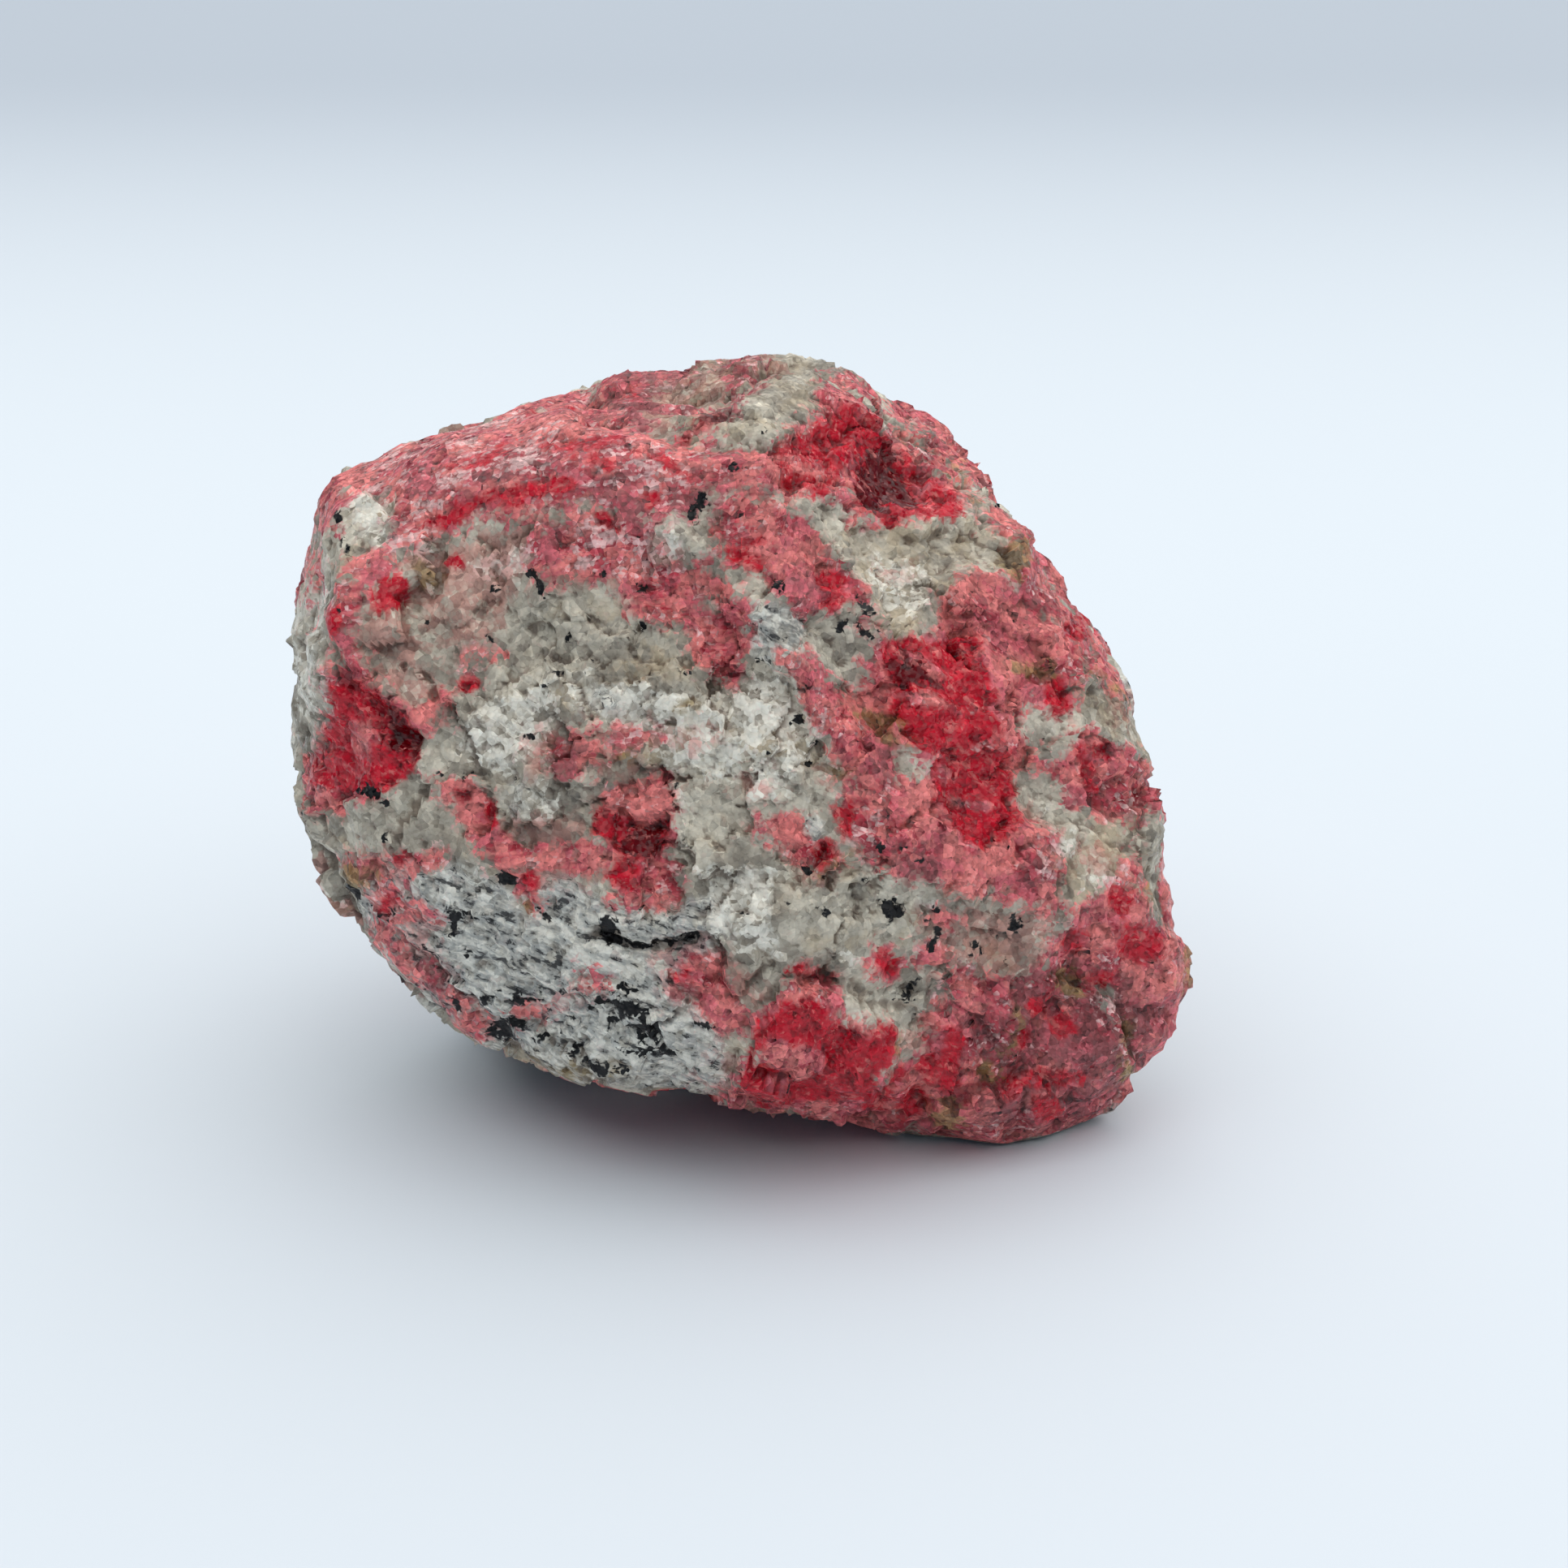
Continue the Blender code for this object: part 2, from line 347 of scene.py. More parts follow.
crimson = {
    "areas": {
        "left patch": [
            (414, 838), (440, 836), (482, 862), (522, 903), (508, 948), (478, 975), (430, 978),
            (392, 962), (380, 935), (404, 895), (410, 866),
        ],
        "upper slope": [
            (1085, 800), (1120, 785), (1175, 800), (1212, 830), (1222, 880), (1228, 915), (1170, 925),
            (1120, 912), (1096, 880), (1110, 845),
        ],
        "lower slope": [
            (1150, 935), (1200, 922), (1250, 935), (1262, 975), (1250, 1030), (1215, 1042), (1180, 1020),
            (1160, 985),
        ],
        "boulder face": [
            (935, 1268), (985, 1246), (1050, 1262), (1095, 1290), (1070, 1335), (985, 1345), (915, 1325),
        ],
        "pocket": [
            (960, 545), (1000, 530), (1012, 516), (1040, 504), (1085, 522), (1118, 546), (1152, 584),
            (1186, 626), (1140, 644), (1090, 640), (1062, 618), (1050, 594), (1020, 588), (1000, 562),
        ],
        "glassy crystal": [
            (1063, 552), (1086, 538), (1100, 541), (1112, 560), (1106, 576), (1092, 582), (1096, 600),
            (1072, 604), (1063, 590),
        ],
        "glassy crystal, right": [(1098, 578), (1118, 570), (1133, 588), (1130, 612), (1112, 610)],
        "glassy crystal, low": [(1076, 608), (1098, 606), (1108, 622), (1092, 630), (1078, 620)],
        "pocket floor": [(1100, 632), (1135, 634), (1150, 626), (1130, 642), (1108, 640)],
        "middle core": [
            (757, 1040), (775, 1010), (800, 1016), (820, 1010), (818, 1040), (800, 1060), (770, 1058),
        ],
        "boulder rim": [
            (935, 1258), (965, 1244), (995, 1234), (1012, 1238), (1016, 1250), (1055, 1258), (1075, 1276),
            (1090, 1300), (1070, 1292), (1040, 1262), (990, 1252), (950, 1262),
        ],
    },
    "spots": {
        "hump": [
            (771, 559, 16, 12), (816, 571, 26, 14, 30), (790, 486, 18, 12), (842, 457, 10, 10),
            (884, 510, 26, 8, -15), (838, 526, 12, 6),
        ],
        "shoulder": [
            (596, 566, 62, 11, -14), (548, 640, 38, 14, -10), (700, 548, 44, 9, -6),
            (738, 540, 44, 13, -4), (736, 566, 30, 12, 20),
        ],
        "pocket": [(990, 590, 34, 20), (1012, 606, 24, 16)],
        "lobe": [(482, 735, 32, 44, 25), (560, 695, 20, 15), (575, 845, 20, 16), (425, 765, 12, 44, 10)],
        "brow": [(752, 642, 26, 10, 10)],
        "fold": [
            (846, 586, 12, 8), (968, 568, 18, 12), (928, 667, 18, 12, -20), (918, 694, 42, 16, 15),
            (802, 614, 16, 18),
        ],
        "quartz hollow": [(1020, 715, 30, 26), (1028, 740, 14, 16)],
        "upper slope": [
            (1186, 801, 46, 38, 10), (1100, 796, 20, 15), (1132, 834, 34, 16, 10), (1115, 856, 28, 16),
            (1146, 896, 40, 24), (1190, 900, 44, 30),
        ],
        "right edge": [
            (1302, 860, 24, 38, -20), (1322, 778, 30, 26), (1340, 948, 16, 60, -22), (1358, 926, 18, 20),
        ],
        "left patch": [(450, 965, 36, 30, 20)],
        "middle": [(750, 1016, 34, 30), (770, 1072, 40, 22)],
        "lower slope": [
            (1230, 936, 26, 18, 35), (1212, 958, 54, 24, 25), (1166, 948, 30, 22, 10),
            (1220, 1020, 50, 36), (1240, 992, 30, 26, 30), (1180, 985, 16, 36, 10),
        ],
        "lower left": [(490, 1060, 18, 12), (482, 1112, 10, 18)],
        "streaky corner": [(655, 1086, 18, 22)],
        "dark seams": [(840, 1202, 14, 12)],
        "low quartz": [(1092, 1186, 26, 30), (1040, 1010, 16, 34), (1018, 1050, 20, 26)],
        "boulder": [
            (980, 1275, 60, 34, 8), (1030, 1310, 44, 26), (1085, 1280, 24, 40, -25), (982, 1196, 18, 10),
            (936, 1326, 22, 14), (952, 1342, 22, 10), (1080, 1348, 32, 32),
        ],
        "foot": [
            (1300, 1330, 60, 26, -5), (1284, 1240, 26, 26), (1312, 1262, 20, 24), (1264, 1280, 22, 20),
            (1325, 1160, 20, 36, 10), (1360, 1206, 22, 20),
        ],
        "left of the middle": [(604, 1006, 14, 30, -10), (567, 984, 14, 10)],
        "bottom": [
            (1108, 1328, 24, 14), (1124, 1364, 36, 26, 10), (1148, 1312, 16, 40),
            (1172, 1312, 30, 66, 10), (1178, 1280, 30, 18), (1288, 1368, 32, 28),
            (1240, 1338, 34, 12, -15),
        ],
        "right side": [(1400, 1160, 60, 44, 10), (1378, 1108, 18, 28)],
    },
    "streaks": {
        "in the left patch": (12, [(412, 890), (430, 870), (450, 880)]),
        "on the shoulder": (17, [(570, 626), (620, 616), (665, 610), (698, 600)]),
    },
    "gaps": {
        "left vein in the pocket": [(1030, 582), (1058, 556), (1064, 600), (1078, 630), (1050, 622)],
        "right vein in the pocket": [(1118, 556), (1146, 588), (1160, 618), (1146, 606), (1126, 578)],
        "upper vein in the pocket": [(985, 572), (1010, 568), (1030, 580), (1000, 588)],
        "heart of the left patch": [(428, 888), (446, 880), (458, 905), (446, 940), (428, 930)],
        "chip in the left patch": [(395, 920), (410, 915), (412, 935), (398, 940)],
        "vein across the upper slope": [
            (1100, 858), (1140, 850), (1180, 868), (1210, 872), (1180, 880), (1130, 868),
        ],
        "vein at the top of the slope": [(1120, 800), (1150, 820), (1180, 840), (1150, 838), (1124, 818)],
        "vein across the lower slope": [(1165, 968), (1200, 975), (1240, 990), (1215, 1000), (1180, 990)],
        # painted highlight: the red is left out here so that the pink beneath shows as a sheen on the
        # boulder's face
        "sheen on the boulder's face": [
            (932, 1284), (950, 1272), (985, 1274), (1012, 1288), (1016, 1310), (985, 1326), (950, 1320),
            (930, 1302),
        ],
        "vein beside the lower slope": [(1150, 940), (1172, 944), (1190, 960), (1170, 962)],
    },
}
blush = {
    "areas": {
        "brow": [
            (480, 690), (540, 668), (600, 650), (660, 640), (760, 640), (830, 650), (850, 700),
            (880, 760), (850, 780), (800, 770), (760, 725), (690, 722), (640, 720), (600, 790),
            (545, 800), (505, 770), (500, 720),
        ],
        "lobe": [(430, 720), (500, 700), (510, 780), (560, 850), (545, 890), (480, 880), (430, 810)],
        "left of the middle": [(640, 905), (700, 890), (820, 890), (815, 925), (740, 965), (650, 960)],
        "over the middle": [(720, 980), (760, 950), (840, 960), (840, 1000), (740, 1005)],
        "beside the band": [(575, 1000), (720, 1000), (750, 1090), (650, 1100), (590, 1050)],
        "under the slope": [
            (1000, 940), (1060, 1050), (1150, 1100), (1290, 1130), (1300, 1010), (1262, 960),
            (1262, 1000), (1290, 1100), (1180, 1100), (1060, 1040), (1030, 960),
        ],
        "beside the boulder": [(800, 1160), (900, 1160), (950, 1230), (900, 1290), (820, 1240)],
        "above the foot": [(1120, 1120), (1180, 1110), (1300, 1120), (1300, 1200), (1150, 1210)],
        "hump": [(690, 500), (760, 470), (860, 440), (960, 440), (940, 480), (860, 500), (790, 530)],
        "low edge": [(440, 1040), (500, 1060), (560, 1190), (640, 1290), (560, 1280), (460, 1140)],
        "bottom": [(850, 1330), (900, 1290), (960, 1350), (940, 1380)],
    },
    "spots": {
        "fold": [(870, 600, 60, 40)],
        "quartz hollow": [(1100, 700, 40, 20)],
        "upper slope": [(1130, 890, 90, 60)],
        "right edge": [(1380, 880, 40, 40)],
        "dark seams": [(700, 1230, 60, 30)],
        "low quartz": [(1010, 1070, 60, 40)],
        "white front": [(860, 905, 60, 30), (930, 970, 60, 30)],
        "bottom": [(1120, 1290, 50, 50)],
        "right side": [(1350, 1060, 40, 60)],
    },
}
ink = {
    "spots": {
        "hump": [(934, 526, 7, 5)],
        "pocket": [(1144, 544, 8, 6), (986, 482, 8, 6), (1092, 500, 6, 5)],
        "top right": [(1238, 628, 14, 12, 40), (1240, 700, 12, 10)],
        "left corner": [(429, 646, 14, 20), (430, 676, 6, 12), (433, 687, 10, 6), (434, 752, 6, 5)],
        "lobe": [(529, 772, 10, 8, -30), (600, 785, 8, 4, 30)],
        "brow": [(659, 715, 14, 30, -30), (744, 703, 8, 14), (606, 721, 14, 7, 20), (741, 700, 6, 12)],
        "fold": [(962, 725, 14, 18, 10), (854, 630, 14, 16), (866, 612, 10, 22, -20), (905, 578, 24, 10)],
        "band": [(788, 721, 20, 8), (788, 772, 6, 9, -20), (843, 829, 10, 4, 15), (935, 815, 7, 5)],
        "quartz hollow": [(1054, 755, 12, 26, -20), (1038, 775, 12, 12), (1066, 782, 22, 10, 35)],
        "right edge": [(1288, 902, 9, 7, 20)],
        "left patch": [
            (505, 962, 6, 5), (468, 990, 12, 12), (447, 980, 26, 14, 30), (379, 1006, 9, 26, -25),
        ],
        "front": [
            (700, 790, 9, 7), (692, 832, 9, 8), (672, 847, 10, 5), (718, 833, 12, 5), (725, 812, 5, 4),
            (654, 904, 6, 5), (683, 776, 6, 5),
        ],
        "middle": [(833, 953, 6, 12, 20), (832, 990, 5, 6), (760, 1110, 12, 8)],
        "lower slope": [(1109, 1037, 18, 8, 30), (1132, 1063, 12, 5, 10), (1118, 1036, 10, 6)],
        "lower left": [(462, 1030, 14, 10), (430, 1102, 14, 44, -38)],
        "streaky corner": [
            (626, 1086, 28, 22, -20), (561, 1131, 18, 28, -10), (585, 1133, 24, 8),
            (672, 1124, 22, 9, 35), (750, 1143, 26, 36, 10), (572, 1208, 9, 26, -30),
            (560, 1233, 7, 16, -20), (617, 1272, 38, 26, 30), (640, 1252, 30, 8, 20), (627, 1128, 8, 6),
            (580, 1168, 8, 18, -25), (556, 1198, 12, 8, 40), (590, 1092, 8, 6),
        ],
        "dark seams": [
            (690, 1254, 26, 8, 15), (755, 1240, 58, 20, 12), (772, 1220, 18, 12), (794, 1270, 44, 18, 15),
            (758, 1262, 8, 16), (665, 1278, 26, 7, 10), (783, 1256, 10, 6), (830, 1290, 8, 7),
            (865, 1264, 18, 6),
        ],
        "low quartz": [
            (1081, 1042, 10, 28, -40), (1098, 1119, 22, 34, 20), (1069, 1088, 12, 6),
            (1011, 1118, 18, 12, 20), (914, 1121, 12, 8), (965, 1110, 5, 3), (996, 1064, 12, 12),
        ],
        "boulder": [(972, 1325, 8, 7)],
        "white front": [
            (983, 886, 8, 6, 20), (1003, 917, 6, 14, 20), (997, 939, 10, 6, -20), (942, 932, 8, 5),
            (941, 950, 5, 9, -10),
        ],
        "above the foot": [
            (1150, 1126, 28, 10, -40), (1151, 1162, 10, 26, 25), (1252, 1136, 26, 12, -50),
            (1238, 1081, 7, 8), (1212, 1173, 7, 16, 20), (1241, 1185, 6, 14), (1154, 1088, 5, 4),
            (1221, 1150, 6, 4), (1135, 1114, 6, 8), (1119, 1226, 30, 13, -40),
        ],
        "left of the middle": [(571, 955, 9, 6, -30), (545, 960, 5, 6), (628, 957, 8, 5)],
    },
    "streaks": {
        "under the slab": (9, [(738, 1152), (800, 1158), (860, 1159)]),
        "small hook": (9, [(574, 1216), (592, 1221), (614, 1219)]),
        "second hook": (7, [(630, 1216), (640, 1228), (664, 1230)]),
        "long hook": (6, [(716, 1226), (740, 1238), (790, 1246)]),
        "low seam": (7, [(772, 1286), (820, 1300), (858, 1314)]),
        "lowest seam": (7, [(700, 1300), (770, 1308)]),
        "upper left seam": (4, [(455, 1120), (490, 1130)]),
        "lower left seam": (4, [(505, 1150), (525, 1165), (540, 1185)]),
    },
}
rust = {
    "spots": {
        "top right": [(1244, 690, 34, 44), (1176, 572, 24, 8, 45), (1205, 612, 16, 8, 45)],
        "lobe": [(526, 710, 40, 26, 20)],
        "band": [(850, 874, 20, 9, -10)],
        "upper slope": [(1078, 888, 52, 14, 22), (1094, 912, 34, 14, 35)],
        "right edge": [(1272, 824, 46, 22, 20), (1382, 858, 40, 8, 35)],
        "middle": [(774, 932, 14, 9)],
        "lower left": [(438, 1078, 40, 26, 30)],
        "streaky corner": [(648, 1114, 10, 12)],
        "dark seams": [(760, 1305, 20, 12), (690, 1312, 90, 12, 12)],
        "low quartz": [(1030, 1062, 22, 8, -30)],
        "boulder": [(965, 1372, 50, 12)],
        "foot": [
            (1322, 1210, 34, 26), (1385, 1312, 20, 22), (1248, 1268, 16, 40, 10), (1390, 1280, 20, 30),
        ],
        "white front": [(1035, 955, 16, 8, 20)],
        "bottom": [(1168, 1376, 44, 30), (1220, 1324, 20, 22), (1104, 1282, 12, 18)],
        "right side": [(1420, 1085, 14, 30, 20), (1456, 1180, 16, 50, 10)],
    },
}
mauve = {
    "areas": {
        "foot": [
            (1240, 1200), (1330, 1180), (1400, 1200), (1440, 1260), (1400, 1350), (1300, 1400),
            (1200, 1380), (1210, 1300), (1225, 1250),
        ],
        "hump": [(700, 500), (800, 450), (960, 430), (1010, 470), (930, 500), (800, 520)],
    },
    "spots": {
        "hump": [(915, 455, 50, 30)],
        "shoulder": [(640, 575, 130, 40, -10), (540, 590, 80, 30, -15)],
        "pocket": [(1028, 560, 50, 50)],
        "top right": [(1275, 735, 50, 40, 40)],
        "lobe": [(565, 735, 110, 80), (560, 775, 40, 24)],
        "brow": [(740, 600, 110, 40, -6), (640, 660, 160, 30, -6)],
        "fold": [(850, 620, 90, 60), (790, 625, 80, 50)],
        "quartz hollow": [(1000, 735, 80, 50)],
        "upper slope": [(1085, 940, 50, 60), (1175, 855, 60, 30)],
        "right edge": [(1340, 985, 90, 30)],
        "left patch": [(450, 1010, 40, 40)],
        "front": [(700, 930, 60, 50)],
        "lower slope": [(1125, 1065, 90, 50), (1195, 985, 60, 60)],
        "streaky corner": [(540, 1205, 60, 22, 45)],
        "dark seams": [(845, 1225, 50, 40), (825, 1172, 70, 20)],
        "boulder": [(900, 1262, 60, 24)],
        "foot": [(1330, 1360, 60, 40), (1365, 1265, 70, 60)],
        "above the foot": [(1275, 1070, 36, 60)],
        "bottom": [(1215, 1270, 60, 60)],
    },
}
smoke = {
    "areas": {
        "glassy crystals": [
            (1063, 552), (1086, 536), (1104, 541), (1116, 566), (1136, 588), (1132, 614), (1104, 630),
            (1078, 622), (1062, 592),
        ],
        "deep edge": [(462, 850), (482, 862), (522, 903), (508, 935), (486, 940), (476, 900)],
        "core of the middle": [(757, 1040), (775, 1008), (820, 1008), (818, 1042), (798, 1062)],
        "core of the slope": [(1100, 795), (1130, 800), (1150, 835), (1110, 840)],
        "hump": [(790, 470), (850, 440), (1040, 440), (1010, 500), (940, 530), (850, 530), (800, 500)],
        "right edge": [
            (1330, 840), (1400, 860), (1445, 960), (1450, 1120), (1400, 1100), (1380, 1020), (1420, 1010),
            (1410, 930), (1340, 890),
        ],
    },
    "spots": {
        "hump": [(980, 480, 50, 36), (850, 460, 90, 40)],
        "shoulder": [(510, 560, 40, 20)],
        "left corner": [(450, 670, 60, 30)],
        "brow": [(645, 760, 18, 12), (745, 768, 40, 20), (700, 705, 20, 10)],
        "fold": [(855, 665, 60, 40, 30), (905, 590, 50, 40)],
        "band": [(964, 775, 70, 90, -25), (882, 850, 46, 26)],
        "quartz hollow": [(1190, 690, 80, 50, 20), (1048, 790, 30, 30)],
        "right edge": [(1372, 925, 26, 22)],
        "front": [(722, 794, 84, 56), (680, 818, 14, 30)],
        "middle": [(700, 980, 50, 50), (820, 1080, 10, 10)],
        "streaky corner": [(560, 1255, 60, 20, 45)],
        # painted shade: the long band below darkens the strip along the stone's lower edge, where shade
        # falls
        "dark seams": [(730, 1310, 300, 34, 8)],
        "low quartz": [(1000, 1095, 40, 40), (1050, 1110, 60, 40)],
        "white front": [(1020, 950, 44, 30), (930, 935, 90, 24)],
        "above the foot": [(1240, 1150, 60, 30), (1130, 1120, 50, 30)],
        "left of the middle": [(570, 888, 24, 40)],
    },
}
chalk = {
    "areas": {
        "pale shoulder": [
            (400, 640), (470, 540), (600, 490), (740, 515), (860, 570), (820, 620), (700, 622),
            (600, 600), (520, 640), (560, 700), (700, 650), (840, 630), (850, 700), (780, 720),
            (690, 700), (600, 720), (480, 690),
        ],
        "quartz hollow": [
            (1070, 690), (1095, 668), (1150, 700), (1155, 740), (1135, 765), (1085, 760), (1070, 730),
        ],
        "snowy front": [
            (560, 900), (640, 830), (760, 835), (880, 860), (990, 800), (1030, 900), (960, 990),
            (850, 960), (840, 1060), (900, 1060), (960, 1060), (960, 1180), (880, 1150), (860, 1090),
            (830, 1060), (830, 950), (700, 870), (640, 960), (560, 950),
        ],
    },
    "spots": {
        "hump": [(850, 540, 60, 14, 12)],
        "shoulder": [(580, 588, 40, 14, -10)],
        "pocket": [(1070, 640, 50, 24)],
        "lobe": [(390, 790, 50, 260)],
        "brow": [(635, 690, 44, 44), (720, 640, 50, 22)],
        "fold": [(840, 640, 36, 22)],
        "band": [(932, 795, 26, 44), (872, 748, 18, 26, -20)],
        "upper slope": [(1160, 920, 80, 9, 6)],
        "right edge": [(1270, 890, 22, 12, 10), (1370, 840, 50, 30)],
        "front": [(750, 850, 60, 34)],
        "lower slope": [(1125, 938, 40, 24), (1290, 1002, 40, 34), (1095, 965, 36, 12, 30)],
        "lower left": [(465, 1050, 36, 18, 20), (560, 1085, 80, 40)],
        "dark seams": [
            (750, 1290, 10, 10), (775, 1228, 14, 10), (820, 1190, 30, 18), (820, 1290, 26, 14, 20),
        ],
        "low quartz": [(1010, 1020, 24, 40), (930, 1110, 50, 80), (1050, 1180, 30, 40)],
        "foot": [(1364, 1232, 18, 24)],
        "white front": [(960, 832, 60, 44, 10), (925, 870, 36, 44)],
        "left of the middle": [(580, 970, 22, 16), (670, 985, 40, 60)],
        "bottom": [(1115, 1280, 26, 24)],
        "right side": [(1310, 1040, 60, 40), (1360, 1090, 50, 34)],
    },
}
cream = {
    "areas": {
        "hump": [(805, 470), (850, 440), (1030, 440), (1010, 500), (940, 545), (850, 545), (800, 510)],
        "quartz hollow": [
            (1000, 640), (1100, 640), (1225, 640), (1235, 700), (1160, 725), (1130, 790), (1075, 780),
            (1050, 690),
        ],
        "right edge": [
            (1320, 840), (1400, 860), (1430, 960), (1440, 1140), (1400, 1120), (1300, 1110), (1290, 1030),
            (1320, 1000), (1420, 1010), (1410, 930), (1330, 900),
        ],
        "left corner": [(425, 620), (500, 615), (480, 690), (440, 720), (425, 690)],
    },
    "spots": {
        "brow": [(730, 735, 90, 50)],
        "band": [(800, 820, 120, 60)],
        "front": [(700, 860, 60, 40)],
        "middle": [(840, 1085, 24, 30)],
        "lower left": [(430, 1040, 60, 40, 40)],
        # the long band below warms the painted shade along the stone's lower edge
        "dark seams": [(755, 1190, 50, 24, 10), (730, 1305, 300, 44, 8)],
        "low quartz": [(1105, 1152, 60, 34), (1040, 1075, 40, 50), (1000, 1165, 90, 40)],
        "boulder": [(905, 1300, 60, 40), (1080, 1310, 40, 30)],
        "white front": [(900, 920, 200, 80)],
        "above the foot": [(1220, 1180, 60, 30)],
        "left of the middle": [(610, 1045, 60, 20)],
    },
}
cool = {
    "areas": {
        "streaky corner": [
            (440, 1075), (560, 1060), (640, 1100), (700, 1072), (760, 1105), (860, 1110), (900, 1165),
            (880, 1240), (900, 1310), (880, 1350), (700, 1340), (560, 1290), (430, 1130),
        ],
    },
    "spots": {
        "band": [(960, 780, 80, 90, -25)],
        "front": [(735, 860, 60, 30)],
        "middle": [(800, 1130, 90, 40), (870, 1130, 60, 60)],
        "lower left": [(495, 1090, 60, 40, 20)],
        "foot": [(1364, 1232, 18, 24)],
        "white front": [(1000, 1020, 40, 60)],
        "above the foot": [(1145, 1120, 40, 24)],
        "left of the middle": [(640, 980, 30, 60)],
    },
}


